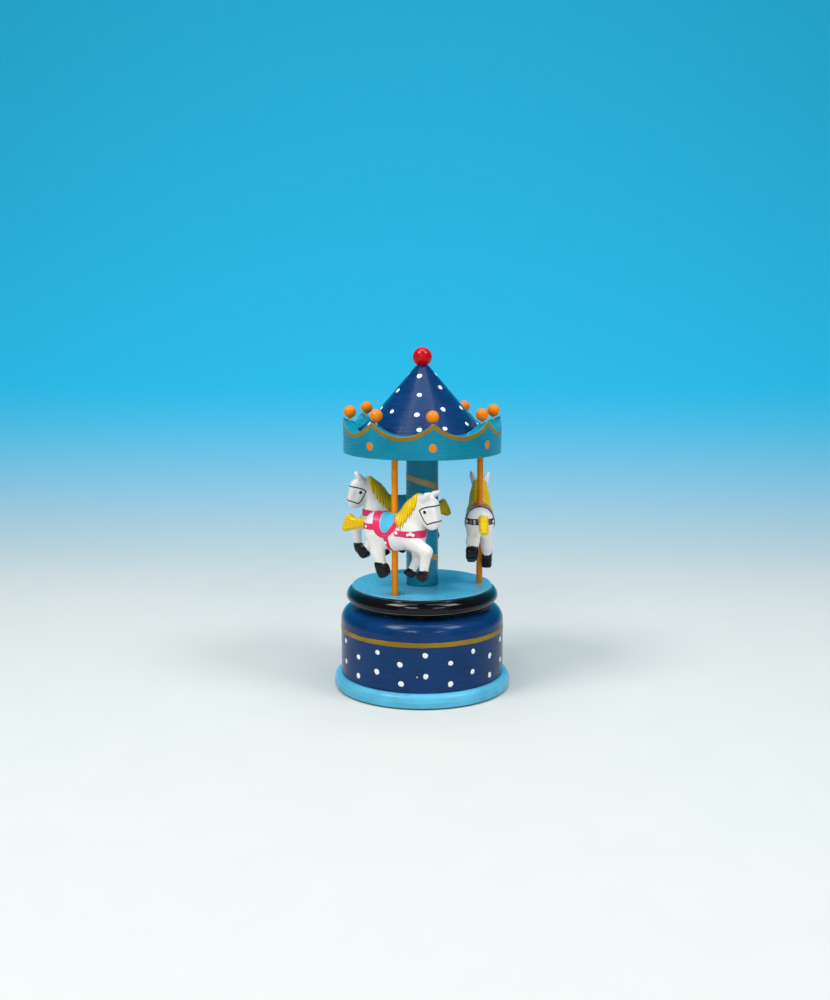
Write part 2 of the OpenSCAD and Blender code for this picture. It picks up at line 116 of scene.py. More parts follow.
def new_object(name, verts, faces, smooth=True, sharp=None):
    mesh = bpy.data.meshes.new(name)
    verts = np.asarray(verts, np.float32)
    mesh.vertices.add(len(verts))
    mesh.vertices.foreach_set("co", verts.ravel())
    sizes = np.array([len(f) for f in faces], np.int32)
    loops = np.concatenate([np.asarray(f, np.int32) for f in faces])
    mesh.loops.add(len(loops))
    mesh.loops.foreach_set("vertex_index", loops)
    mesh.polygons.add(len(sizes))
    mesh.polygons.foreach_set("loop_start", np.concatenate([[0], np.cumsum(sizes)[:-1]]).astype(np.int32))
    mesh.polygons.foreach_set("loop_total", sizes)
    mesh.update(calc_edges=True)
    mesh.validate()
    if smooth:
        mesh.polygons.foreach_set("use_smooth", np.ones(len(mesh.polygons), bool))
    if sharp is not None:
        mesh.set_sharp_from_angle(angle=math.radians(sharp))
    obj = bpy.data.objects.new(name, mesh)
    bpy.context.scene.collection.objects.link(obj)
    return obj


def finish_piece(obj, body, material, replaces=()):
    if obj.data.materials:
        obj.data.materials[0] = material
    else:
        obj.data.materials.append(material)
    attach(obj, body)
    if replaces:
        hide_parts(*replaces)
    return obj


def rounded(points, radii, steps=6, support=0.35):
    """A profile with its corners rounded: radii[i] is the radius at points[i], and 0 keeps the corner."""
    points = [np.array(p, float) for p in points]
    out = [points[0]]
    for before, corner, after, radius in zip(points, points[1:], points[2:], radii[1:-1]):
        if radius <= 0:
            out.append(corner)
            continue
        a, b = before - corner, after - corner
        length_a, length_b = np.linalg.norm(a), np.linalg.norm(b)
        a, b = a / length_a, b / length_b
        half = math.acos(max(-1, min(1, float(a @ b)))) / 2
        run = radius / math.tan(half)
        centre = corner + (a + b) / np.linalg.norm(a + b) * radius / math.sin(half)
        start, end = corner + a * run, corner + b * run
        if length_a - run > 3 * support:
            out.append(start + a * support)
        swing = math.pi - 2 * half
        u = (start - centre) / radius
        v = (end - centre) / radius
        for t in np.linspace(0, 1, steps + 1):
            w = (math.sin((1 - t) * swing) * u + math.sin(t * swing) * v) / math.sin(swing)
            out.append(centre + radius * w)
        if length_b - run > 3 * support:
            out.append(end + b * support)
    out.append(points[-1])
    return out


def lathe(name, profile, segments=256, closed=False):
    """Turns a profile of (r, z) in millimetres about the Z axis. Points with r = 0 become one vertex."""
    segments = segments
    angles = np.arange(segments) * 2 * math.pi / segments
    verts, rings = [], []
    for r, z in profile:
        if r < 1e-6:
            rings.append([len(verts)])
            verts.append((0, 0, z * MM))
        else:
            rings.append(list(range(len(verts), len(verts) + segments)))
            verts += [(r * math.cos(a) * MM, r * math.sin(a) * MM, z * MM) for a in angles]
    faces = []
    pairs = list(zip(rings, rings[1:])) + ([(rings[-1], rings[0])] if closed else [])
    for low, high in pairs:
        for i in range(segments):
            j = (i + 1) % segments
            if len(low) == 1 and len(high) == 1:
                continue
            if len(low) == 1:
                faces.append((low[0], high[j], high[i]))
            elif len(high) == 1:
                faces.append((low[i], low[j], high[0]))
            else:
                faces.append((low[i], low[j], high[j], high[i]))
    return new_object(name, verts, faces, sharp=35)


def shift(obj, x, y, z=0.0):
    """Moves a mesh by millimetres."""
    for v in obj.data.vertices:
        v.co += Vector((x * MM, y * MM, z * MM))


def ball_profile(radius, centre, low_cut=None, steps=40):
    """Half a circle, from its lowest point or a flat cut up to its top."""
    start = -math.pi / 2 if low_cut is None else math.asin((low_cut - centre) / radius)
    arc = [(radius * math.cos(a), centre + radius * math.sin(a))
           for a in np.linspace(start, math.pi / 2, steps)]
    arc[-1] = (0.0, centre + radius)
    if low_cut is None:
        arc[0] = (0.0, centre - radius)
        return arc
    return [(0.0, low_cut)] + arc


def grid_faces(rows, columns, wrap):
    """Quads of a rows x columns grid of points, whose columns may close on themselves."""
    i, j = np.meshgrid(np.arange(rows - 1), np.arange(columns if wrap else columns - 1), indexing="ij")
    k = (j + 1) % columns
    quads = np.stack([i * columns + j, i * columns + k, (i + 1) * columns + k, (i + 1) * columns + j], -1)
    return quads.reshape(-1, 4)


# ------------------------------------------------------------------ materials

class Tree:
    """A material's node tree, with a short way to add nodes."""

    def __init__(self, name):
        self.material = bpy.data.materials.new(name)
        self.material.use_nodes = True
        self.tree = self.material.node_tree
        self.shader = self.tree.nodes["Principled BSDF"]
        self.place = self.add("ShaderNodeTexCoord").outputs["Object"]

    def add(self, kind, settings=None, **inputs):
        node = self.tree.nodes.new(kind)
        for key, value in (settings or {}).items():
            setattr(node, key, value)
        for key, value in inputs.items():
            numbered = key[0] == "i" and key[1:].isdigit()
            self.put(node.inputs[int(key[1:]) if numbered else key.replace("_", " ")], value)
        return node

    def put(self, socket, value):
        if isinstance(value, bpy.types.NodeSocket):
            self.tree.links.new(value, socket)
        else:
            socket.default_value = value

    def math(self, operation, a, b=0.0, c=0.0, clamp=False):
        settings = {"operation": operation, "use_clamp": clamp}
        return self.add("ShaderNodeMath", settings, i0=a, i1=b, i2=c).outputs[0]

    def scaled(self, scale=(1, 1, 1), shift=(0, 0, 0)):
        return self.add("ShaderNodeMapping", Vector=self.place, Scale=scale, Location=shift).outputs[0]

    def noise(self, where, scale=1.0, detail=3.0, rough=0.5, distortion=0.0):
        return self.add("ShaderNodeTexNoise", Vector=where, Scale=scale, Detail=detail, Roughness=rough,
                        Distortion=distortion).outputs["Fac"]

    def span(self, value, low, high, to_low=0.0, to_high=1.0):
        return self.add("ShaderNodeMapRange", Value=value, From_Min=low, From_Max=high, To_Min=to_low,
                        To_Max=to_high).outputs[0]

    def mix(self, factor, a, b):
        node = self.add("ShaderNodeMix", {"data_type": "RGBA"})
        self.put(node.inputs[0], factor)
        self.put(node.inputs[6], a)
        self.put(node.inputs[7], b)
        return node.outputs[2]

    def bump(self, height, strength, distance, normal=None):
        node = self.add("ShaderNodeBump", Height=height, Strength=strength, Distance=distance)
        if normal is not None:
            self.put(node.inputs["Normal"], normal)
        return node.outputs[0]

    def set(self, **values):
        for key, value in values.items():
            self.put(self.shader.inputs[key.replace("_", " ")], value)
        return self.material


def rgba(color, k=1.0):
    return (min(1, color[0] * k), min(1, color[1] * k), min(1, color[2] * k), 1.0)


def paint(name, color, rough=0.20, coat=0.5, strokes=(60, 60, 1100), stroke_depth=0.25, tone=0.14, edge_colour=None,
          sheen_tone=None, level=0.25, edge_lightening=0.35):
    """Brushed gloss paint on wood: faint strokes, lightened along their streaks as a painted sheen, uneven
    thickness, orange peel, and edges lightened partly as worn paint and partly as a painted edge highlight.
    """
    t = Tree(name)
    broad = t.noise(t.scaled(), 55, 3, 0.55, 0.4)
    streak = t.noise(t.scaled(strokes), 1.0, 4, 0.62, 0.3)
    peel = t.noise(t.scaled(shift=(3, 1, 7)), 900, 2, 0.5)
    shade = t.mix(t.span(broad, 0.35, 0.65), rgba(color, 1 - tone), rgba(color, 1 + tone))
    # painted sheen: the paint is lightened along its brush-stroke streaks, up to 18%, toward sheen_tone if given,
    # else toward a lighter copy of its own colour
    shade = t.mix(t.math("MULTIPLY", t.span(streak, 0.42, 0.72), 0.18), shade, rgba(sheen_tone or color, 1.25))
    # lighter edges, partly worn paint and partly a painted edge highlight: sharp edges are mixed toward the edge
    # colour when one is given, else toward a lighter copy of the paint
    edge = t.add("ShaderNodeNewGeometry").outputs["Pointiness"]
    edge_wear_and_highlight = t.math("MULTIPLY", t.span(edge, 0.53, 0.60), t.span(streak, 0.40, 0.60), clamp=True)
    shade = t.mix(t.math("MULTIPLY", edge_wear_and_highlight, edge_lightening), shade, rgba(edge_colour or color, 1.0 if edge_colour else 1.6))
    roughness = t.math("ADD", t.span(streak, 0.3, 0.7, rough - 0.05, rough + 0.08),
                       t.span(broad, 0.3, 0.7, -0.03, 0.03))
    normal = t.bump(streak, stroke_depth, 0.00012)
    normal = t.bump(peel, 0.12, 0.00004, normal)
    under_coat = t.bump(streak, stroke_depth * 0.6, 0.0001)
    t.put(t.shader.inputs["Coat Normal"], t.bump(broad, 0.10, 0.0006, under_coat))
    return t.set(Base_Color=shade, Roughness=roughness, Normal=normal, Coat_Weight=coat * 0.7,
                 Coat_Roughness=0.10, Coat_IOR=1.35, Specular_IOR_Level=level * 0.45)


def ring_with_painted_highlight_lines(name, color, heights):
    """Black lacquer with grey lines painted along its turned edges, at the given heights in mm, broken into patches
    here and there: painted highlights where those edges catch the light.
    """
    material = paint(name, color, 0.10, 0.8, stroke_depth=0.10, edge_colour=(0.16, 0.16, 0.17))
    t = Tree.__new__(Tree)
    t.material, t.tree = material, material.node_tree
    t.shader = t.tree.nodes["Principled BSDF"]
    t.place = t.add("ShaderNodeTexCoord").outputs["Object"]
    z = t.add("ShaderNodeSeparateXYZ", Vector=t.place).outputs["Z"]
    patch = t.span(t.noise(t.scaled(shift=(4, 4, 4)), 130, 3, 0.6), 0.30, 0.55, 0.25, 1.0)
    painted_highlight = None
    for height, half in heights:
        near = t.span(t.math("ABSOLUTE", t.math("SUBTRACT", z, height * MM)), 0.0, half * MM, 1.0, 0.0)
        painted_highlight = near if painted_highlight is None else t.math("MAXIMUM", painted_highlight, near)
    painted_highlight = t.math("MULTIPLY", painted_highlight, patch)
    old = t.shader.inputs["Base Color"].links[0].from_socket
    # painted highlight: grey mixed into the lacquer along those lines
    t.put(t.shader.inputs["Base Color"], t.mix(t.math("MULTIPLY", painted_highlight, 0.8), old, (0.20, 0.22, 0.22, 1)))
    return material


def metal(name, color, rough=0.30, lines=(900, 900, 60), metallic=1.0):
    """Turned or rolled metal: fine lines, cloudy tarnish."""
    t = Tree(name)
    cloud = t.noise(t.scaled(), 160, 4, 0.6)
    line = t.noise(t.scaled(lines), 1.0, 3, 0.6)
    shade = t.mix(t.span(cloud, 0.35, 0.70), rgba(color, 1.06), rgba(color, 0.78))
    roughness = t.math("ADD", t.span(line, 0.3, 0.7, rough - 0.08, rough + 0.12),
                       t.span(cloud, 0.3, 0.7, -0.04, 0.06))
    return t.set(Base_Color=shade, Roughness=roughness, Metallic=metallic,
                 Normal=t.bump(line, 0.18, 0.00005))


def nylon():
    t = Tree("nylon")
    cloud = t.noise(t.scaled(), 220, 3, 0.5)
    shade = t.mix(t.span(cloud, 0.3, 0.7), (0.80, 0.77, 0.69, 1), (0.86, 0.84, 0.78, 1))
    return t.set(Base_Color=shade, Roughness=t.span(cloud, 0.3, 0.7, 0.42, 0.55),
                 Normal=t.bump(cloud, 0.1, 0.00005), Subsurface_Weight=0.05)


def raw_wood():
    t = Tree("raw_wood")
    grain = t.noise(t.scaled((900, 900, 60)), 1.0, 5, 0.6, 0.4)
    pores = t.noise(t.scaled((2600, 2600, 160)), 1.0, 2, 0.5)
    shade = t.mix(t.span(grain, 0.3, 0.7), (0.62, 0.42, 0.24, 1), (0.80, 0.62, 0.40, 1))
    shade = t.mix(t.span(pores, 0.62, 0.75), shade, (0.36, 0.22, 0.12, 1))
    return t.set(Base_Color=shade, Roughness=t.span(grain, 0.3, 0.7, 0.55, 0.75),
                 Normal=t.bump(grain, 0.3, 0.0001))


def felt():
    t = Tree("green_felt")
    fibre = t.noise(t.scaled(), 2600, 5, 0.7, 1.5)
    clump = t.noise(t.scaled(), 240, 3, 0.6)
    shade = t.mix(t.span(fibre, 0.3, 0.7), (0.012, 0.05, 0.026, 1), (0.06, 0.17, 0.10, 1))
    shade = t.mix(t.span(clump, 0.4, 0.8, 0.0, 0.35), shade, (0.08, 0.16, 0.11, 1))
    return t.set(Base_Color=shade, Roughness=t.span(fibre, 0.3, 0.7, 0.85, 1.0),
                 Normal=t.bump(fibre, 0.7, 0.0004), Sheen_Weight=0.4)


def backdrop_material():
    """Pale paper: near white on the floor, and a soft blue higher up the sweep, which also glows blue as painted
    light.
    """
    t = Tree("pale_paper")
    parts = t.add("ShaderNodeSeparateXYZ", Vector=t.place)
    back = t.math("ADD", parts.outputs["Z"], t.math("MAXIMUM", parts.outputs["Y"], 0.0))
    fibre = t.noise(t.place, 35, 4, 0.6)
    near = t.mix(fibre, (0.62, 0.64, 0.62, 1), (0.65, 0.67, 0.65, 1))
    rise = t.add("ShaderNodeMapRange", {"interpolation_type": "SMOOTHSTEP"}, Value=back,
                 From_Min=0.16, From_Max=1.00).outputs[0]
    shade = t.mix(rise, near, (0.010, 0.42, 0.68, 1))
    # painted light: the blue part of the sweep glows, more as it rises
    t.set(Emission_Color=(0.012, 0.33, 0.50, 1), Emission_Strength=t.math("MULTIPLY", rise, 0.40))
    return t.set(Base_Color=shade, Roughness=t.span(fibre, 0.3, 0.7, 0.75, 0.9))


def horse_paint(name, color):
    """Thick gloss white over carved wood, with painted shade: greyer in the hollows that ambient occlusion finds.
    """
    t = Tree(name)
    broad = t.noise(t.scaled(), 90, 3, 0.55, 0.4)
    lumps = t.noise(t.scaled(shift=(2, 5, 1)), 260, 3, 0.55, 0.2)
    streak = t.noise(t.scaled((700, 700, 260)), 1.0, 3, 0.6, 0.5)
    shade = t.mix(t.span(broad, 0.35, 0.65), rgba(color, 0.97), rgba(color, 1.03))
    # painted shade: the white is mixed toward grey where ambient occlusion finds hollows
    settings = {"samples": 8, "only_local": True}
    hollow = t.add("ShaderNodeAmbientOcclusion", settings, Distance=0.005).outputs["AO"]
    shade = t.mix(t.span(hollow, 0.20, 0.85, 0.75, 0.0), shade, (0.40, 0.40, 0.42, 1))
    roughness = t.math("ADD", t.span(lumps, 0.3, 0.7, 0.20, 0.30), t.span(streak, 0.3, 0.7, -0.03, 0.05))
    normal = t.bump(lumps, 0.30, 0.0004)
    normal = t.bump(streak, 0.20, 0.00006, normal)
    return t.set(Base_Color=shade, Roughness=roughness, Normal=normal, Coat_Weight=0.3, Coat_Roughness=0.12,
                 Coat_IOR=1.35, Specular_IOR_Level=0.3)


def strand_paint(name, color, groove):
    """Gloss paint over carved strands, with painted shade in the grooves: the mesh says how deep in a groove each
    point is, and deeper points are mixed toward the darker groove colour.
    """
    t = Tree(name)
    depth = t.add("ShaderNodeAttribute", {"attribute_name": "groove"}).outputs["Fac"]
    broad = t.noise(t.scaled(), 150, 3, 0.55, 0.4)
    streak = t.noise(t.scaled((900, 900, 180)), 1.0, 3, 0.6, 0.3)
    shade = t.mix(t.span(broad, 0.35, 0.65), rgba(color, 0.92), rgba(color, 1.08))
    shade = t.mix(t.math("MULTIPLY", t.span(streak, 0.45, 0.75), 0.25), shade, rgba(color, 1.25))
    # painted shade in the grooves
    shade = t.mix(depth, shade, rgba(groove))
    roughness = t.math("ADD", t.span(streak, 0.3, 0.7, 0.22, 0.34), t.span(depth, 0, 1, 0.0, 0.12))
    normal = t.bump(streak, 0.25, 0.00008)
    return t.set(Base_Color=shade, Roughness=roughness, Normal=normal, Coat_Weight=0.3, Coat_Roughness=0.15,
                 Coat_IOR=1.35, Specular_IOR_Level=0.25)


LIGHT_BLUE = (0.100, 0.45, 0.66)
# a darker copy of the light blue paint: painted shade for the column under the crown and for the crown's side
SHADED_LIGHT_BLUE = (0.004, 0.215, 0.33)
NAVY = (0.0012, 0.032, 0.118)
BLACK = (0.003, 0.003, 0.004)
ORANGE = (0.78, 0.20, 0.004)
POLE_ORANGE = (0.80, 0.24, 0.002)
RED = (0.52, 0.002, 0.006)
GOLD = (0.26, 0.155, 0.010)
STRIPE_GOLD = (0.40, 0.26, 0.10)
WHITE = (0.86, 0.87, 0.88)
HORSE_WHITE = (0.80, 0.79, 0.77)
YELLOW = (0.80, 0.53, 0.0)
PINK = (0.70, 0.035, 0.12)
SADDLE_BLUE = (0.09, 0.47, 0.76)


# brushed paints: what paint() is told for each
PAINTS = {
    "light_blue_paint": dict(color=LIGHT_BLUE, rough=0.26, coat=0.35),
    # crown_blue is that darker copy of the light blue: painted shade
    "crown_blue": dict(color=SHADED_LIGHT_BLUE, rough=0.24, coat=0.40, strokes=(90, 90, 900)),
    # navy's sheen_tone: a lighter, bluer colour for the painted sheen along its strokes
    "navy_paint": dict(color=NAVY, rough=0.20, coat=0.45, strokes=(110, 110, 1300), stroke_depth=0.5,
                       level=0.18, sheen_tone=(0.02, 0.06, 0.25)),
    "black_lacquer": dict(color=BLACK, rough=0.12, coat=0.8, stroke_depth=0.12, edge_colour=(0.16, 0.16, 0.17)),
    "orange_paint": dict(color=ORANGE, rough=0.22, coat=0.5, strokes=(400, 400, 900), stroke_depth=0.15),
    "pole_orange_paint": dict(color=POLE_ORANGE, rough=0.27, coat=0.35, strokes=(900, 900, 90)),
    "red_paint": dict(color=RED, rough=0.18, coat=0.6, strokes=(300, 300, 800), stroke_depth=0.15),
    "gold_paint": dict(color=GOLD, rough=0.36, coat=0.2, strokes=(160, 160, 1500), tone=0.2),
    "stripe_gold": dict(color=STRIPE_GOLD, rough=0.36, coat=0.2, strokes=(300, 300, 900), tone=0.2),
    "white_paint": dict(color=WHITE, rough=0.24, coat=0.4, strokes=(900, 900, 900), stroke_depth=0.1,
                        tone=0.04),
    "orange_dot": dict(color=(0.66, 0.20, 0.008), rough=0.3, coat=0.3, strokes=(900, 900, 900), tone=0.1),
    "pink_paint": dict(color=PINK, rough=0.25, coat=0.4, strokes=(700, 700, 700), stroke_depth=0.2),
    "saddle_blue": dict(color=SADDLE_BLUE, rough=0.28, coat=0.35, strokes=(700, 300, 700),
                        stroke_depth=0.2),
    "dark_strap": dict(color=(0.010, 0.028, 0.026), rough=0.22, coat=0.5, strokes=(700, 700, 700)),
    "mauve_paint": dict(color=(0.40, 0.10, 0.20), rough=0.26, coat=0.4, strokes=(700, 700, 700)),
    # the grey edge colour on the hooves stands for painted highlight specks
    "hoof_black": dict(color=(0.006, 0.007, 0.008), rough=0.22, coat=0.5, strokes=(500, 500, 500),
                       edge_colour=(0.35, 0.35, 0.34)),
    "line_black": dict(color=(0.004, 0.004, 0.005), rough=0.30, coat=0.2, strokes=(900, 900, 900)),
    "stone_pale": dict(color=(0.30, 0.42, 0.36), rough=0.25, coat=0.4, strokes=(900, 900, 900)),
    "stone_rust": dict(color=(0.32, 0.08, 0.05), rough=0.25, coat=0.4, strokes=(900, 900, 900)),
    "platform_blue": dict(color=(0.105, 0.46, 0.68), rough=0.28, coat=0.3, strokes=(90, 20, 90),
                          stroke_depth=0.02, tone=0.02, edge_lightening=0.0),
}


def make_materials():
    m = {name: paint(name, **settings) for name, settings in PAINTS.items()}
    # the grey lines at the lower lip (50.15 mm) and the step (57.0 mm) are painted highlights
    m["ring_lacquer"] = ring_with_painted_highlight_lines("ring_lacquer", BLACK, [(50.15, 0.30), (57.0, 0.16)])
    m["horse_white_paint"] = horse_paint("horse_white_paint", HORSE_WHITE)
    # the olive colour is painted shade in the grooves of the mane and tail
    m["yellow_paint"] = strand_paint("yellow_paint", YELLOW, (0.25, 0.17, 0.005))
    m["screw_steel"] = metal("screw_steel", (0.60, 0.61, 0.62))
    m["plated_iron"] = metal("plated_iron", (0.56, 0.56, 0.55), 0.36, (60, 900, 900))
    m["spring_steel"] = metal("spring_steel", (0.30, 0.33, 0.40), 0.26, (60, 60, 1200))
    m["brass"] = metal("brass", (0.78, 0.58, 0.24), 0.28)
    m["nylon"] = nylon()
    m["raw_wood"] = raw_wood()
    m["green_felt"] = felt()
    return m


# ------------------------------------------------------------------ raised paint on turned surfaces

def relief_dot(surface, u0, v0, radius, thick=0.16, wobble=0.05, stretch=1.0):
    """A domed dab of paint. surface(u, v, h) gives a point h above the surface, u along it and v up it."""
    rings, around = ((7, 36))
    phase = rng.uniform(0, 2 * math.pi, 3)
    verts = [surface(u0, v0, thick)]
    for i in range(1, rings + 2):
        share = min(1.0, i / rings)
        for k in range(around):
            a = 2 * math.pi * k / around
            edge = radius * (1 + wobble * (math.sin(2 * a + phase[0]) + 0.6 * math.sin(3 * a + phase[1])
                                           + 0.3 * math.sin(5 * a + phase[2])))
            rise = thick * math.sqrt(max(0.0, 1 - share ** 3.2)) if i <= rings else -0.12
            out = edge * share
            verts.append(surface(u0 + out * math.cos(a), v0 + out * stretch * math.sin(a), rise))
    faces = [(0, 1 + k, 1 + (k + 1) % around) for k in range(around)]
    for i in range(rings):
        base, nxt = 1 + i * around, 1 + (i + 1) * around
        for k in range(around):
            j = (k + 1) % around
            faces.append((base + k, nxt + k, nxt + j, base + j))
    faces.append(tuple(1 + rings * around + k for k in range(around - 1, -1, -1)))
    return verts, faces


def join_parts(name, parts, sharp=50):
    verts, faces, start = [], [], 0
    for part_verts, part_faces in parts:
        verts += [tuple(v) for v in part_verts]
        faces += [tuple(i + start for i in f) for f in part_faces]
        start += len(part_verts)
    return new_object(name, verts, faces, sharp=sharp)


def cylinder_surface(radius):
    def at(u, v, h):
        a = u / radius - math.pi / 2
        return ((radius + h) * math.cos(a) * MM, (radius + h) * math.sin(a) * MM, v * MM)
    return at


def cone_surface(slope, apex):
    """u is the azimuth from the front in degrees times the local radius, v the height."""
    tilt = math.atan(slope)

    def at_angle(degrees):
        def at(u, v, h):
            r0 = slope * (apex - v)
            a = math.radians(degrees) + u / max(r0, 1.0) - math.pi / 2
            r, z = r0 + h * math.cos(tilt), v + h * math.sin(tilt)
            return (r * math.cos(a) * MM, r * math.sin(a) * MM, z * MM)
        return at
    return at_angle


def relief_band(surface, line, half_width, thick=0.12, closed=True, wobble=0.06):
    """A brushed line: line is a list of (u, v) on the surface, half_width a number."""
    line = np.array(line, float)
    count = len(line)
    if closed:
        ahead, back = np.roll(line, -1, 0), np.roll(line, 1, 0)
        span = abs(line[-1, 0] - line[0, 0]) + abs(line[1, 0] - line[0, 0])
        ahead[-1, 0] += span
        back[0, 0] -= span
    else:
        ahead, back = np.vstack([line[1:], line[-1:]]), np.vstack([line[:1], line[:-1]])
    along = ahead - back
    along /= np.linalg.norm(along, axis=1)[:, None]
    across = np.stack([-along[:, 1], along[:, 0]], 1)
    turn = np.linspace(0, 2 * math.pi, count, endpoint=not closed)
    ph = rng.uniform(0, 6.28, 6)

    def edge(waves, phases):
        slow, middle, quick = (np.sin(n * turn + phase) for n, phase in zip(waves, phases))
        return half_width * (1 + wobble * (slow + 0.7 * middle + 0.5 * quick))
    upper, lower = edge((7, 17, 41), ph[:3]), edge((6, 19, 37), ph[3:])
    half_profile = [(1.0, -0.1), (1.0, 0.35), (0.9, 0.85), (0.6, 1.0)]
    profile = [(-side, rise) for side, rise in half_profile] + [(0.0, 1.0)] + half_profile[::-1]
    rows = []
    for side, rise in profile:
        width = upper if side > 0 else lower
        points = line + across * (side * width)[:, None]
        rows.append([surface(p[0], p[1], thick * rise if rise > 0 else -0.1) for p in points])
    verts = [v for row in rows for v in row]
    faces = [tuple(int(i) for i in f) for f in grid_faces(len(profile), count, closed)]
    if not closed:
        faces.append(tuple(i * count for i in range(len(profile))))
        faces.append(tuple(i * count + count - 1 for i in range(len(profile) - 1, -1, -1)))
    # close the underside
    last = (len(profile) - 1) * count
    for k in range(count if closed else count - 1):
        j = (k + 1) % count
        faces.append((last + k, last + j, j, k))
    return verts, faces


# ------------------------------------------------------------------ turned parts

SLOPE, APEX = 0.857, 185.0
BEAD_START = 7.7
SCALLOPS = 8
SCALLOP_R = 23.1


def build_base(m):
    low, high = mm_box("base_plate")
    foot_r, felt_t, foot_top = high[0], low[2], mm_box("drum")[0][2]
    profile = rounded([(0, felt_t), (foot_r - 0.2, felt_t), (foot_r, foot_top - 4.2), (foot_r - 0.9, foot_top),
                       (0, foot_top)], [0, 0.5, 1.5, 3.0, 0], steps=10)
    base = lathe("base_plate_turned", profile)
    finish_piece(base, "base", m["light_blue_paint"], ["base_plate"])

    drum_low, drum_high = mm_box("drum")
    r, top = drum_high[0], drum_high[2]
    bottom = drum_low[2]
    hole = 4.5
    cavity = 38.0
    ceiling = top - 8.4
    section = [(cavity, bottom), (r, bottom), (r, top), (hole, top), (hole, ceiling), (cavity, ceiling),
               (cavity, bottom)]
    profile = rounded(section, [0, 0.25, 8.0, 0.3, 0.2, 0.3, 0], steps=20)
    drum = lathe("drum_turned", profile)
    finish_piece(drum, "base", m["navy_paint"], ["drum"])
    return r


def drum_details(m, r):
    at = cylinder_surface(r)
    band_z = 34.6
    turn = np.linspace(0, 2 * math.pi, 361)[:-1]
    line = [(r * (a - math.pi), band_z + 0.10 * math.sin(2 * a + 0.6) + 0.06 * math.sin(5 * a)) for a in turn]
    band = join_parts("drum_band", [relief_band(at, line, 1.3)])
    finish_piece(band, "base", m["gold_paint"])

    dots = []
    for k in range(20):
        azimuth = 2.5 + 18 * k - 2.9 * math.sin(math.radians(18 * k))
        heights = (29.3, 17.8) if k % 2 == 0 else (24.0, 12.9)
        for z in heights:
            jitter = rng.uniform(-0.35, 0.35, 2)
            radius = 1.45 + rng.uniform(-0.14, 0.14)
            dots.append(relief_dot(at, r * math.radians(azimuth) + jitter[0], z + jitter[1], radius))
    # a stray splash beside the lower middle dot
    dots.append(relief_dot(at, r * math.radians(-3.4), 17.2, 0.35, thick=0.08))
    spots = join_parts("drum_dots", dots)
    finish_piece(spots, "base", m["white_paint"])


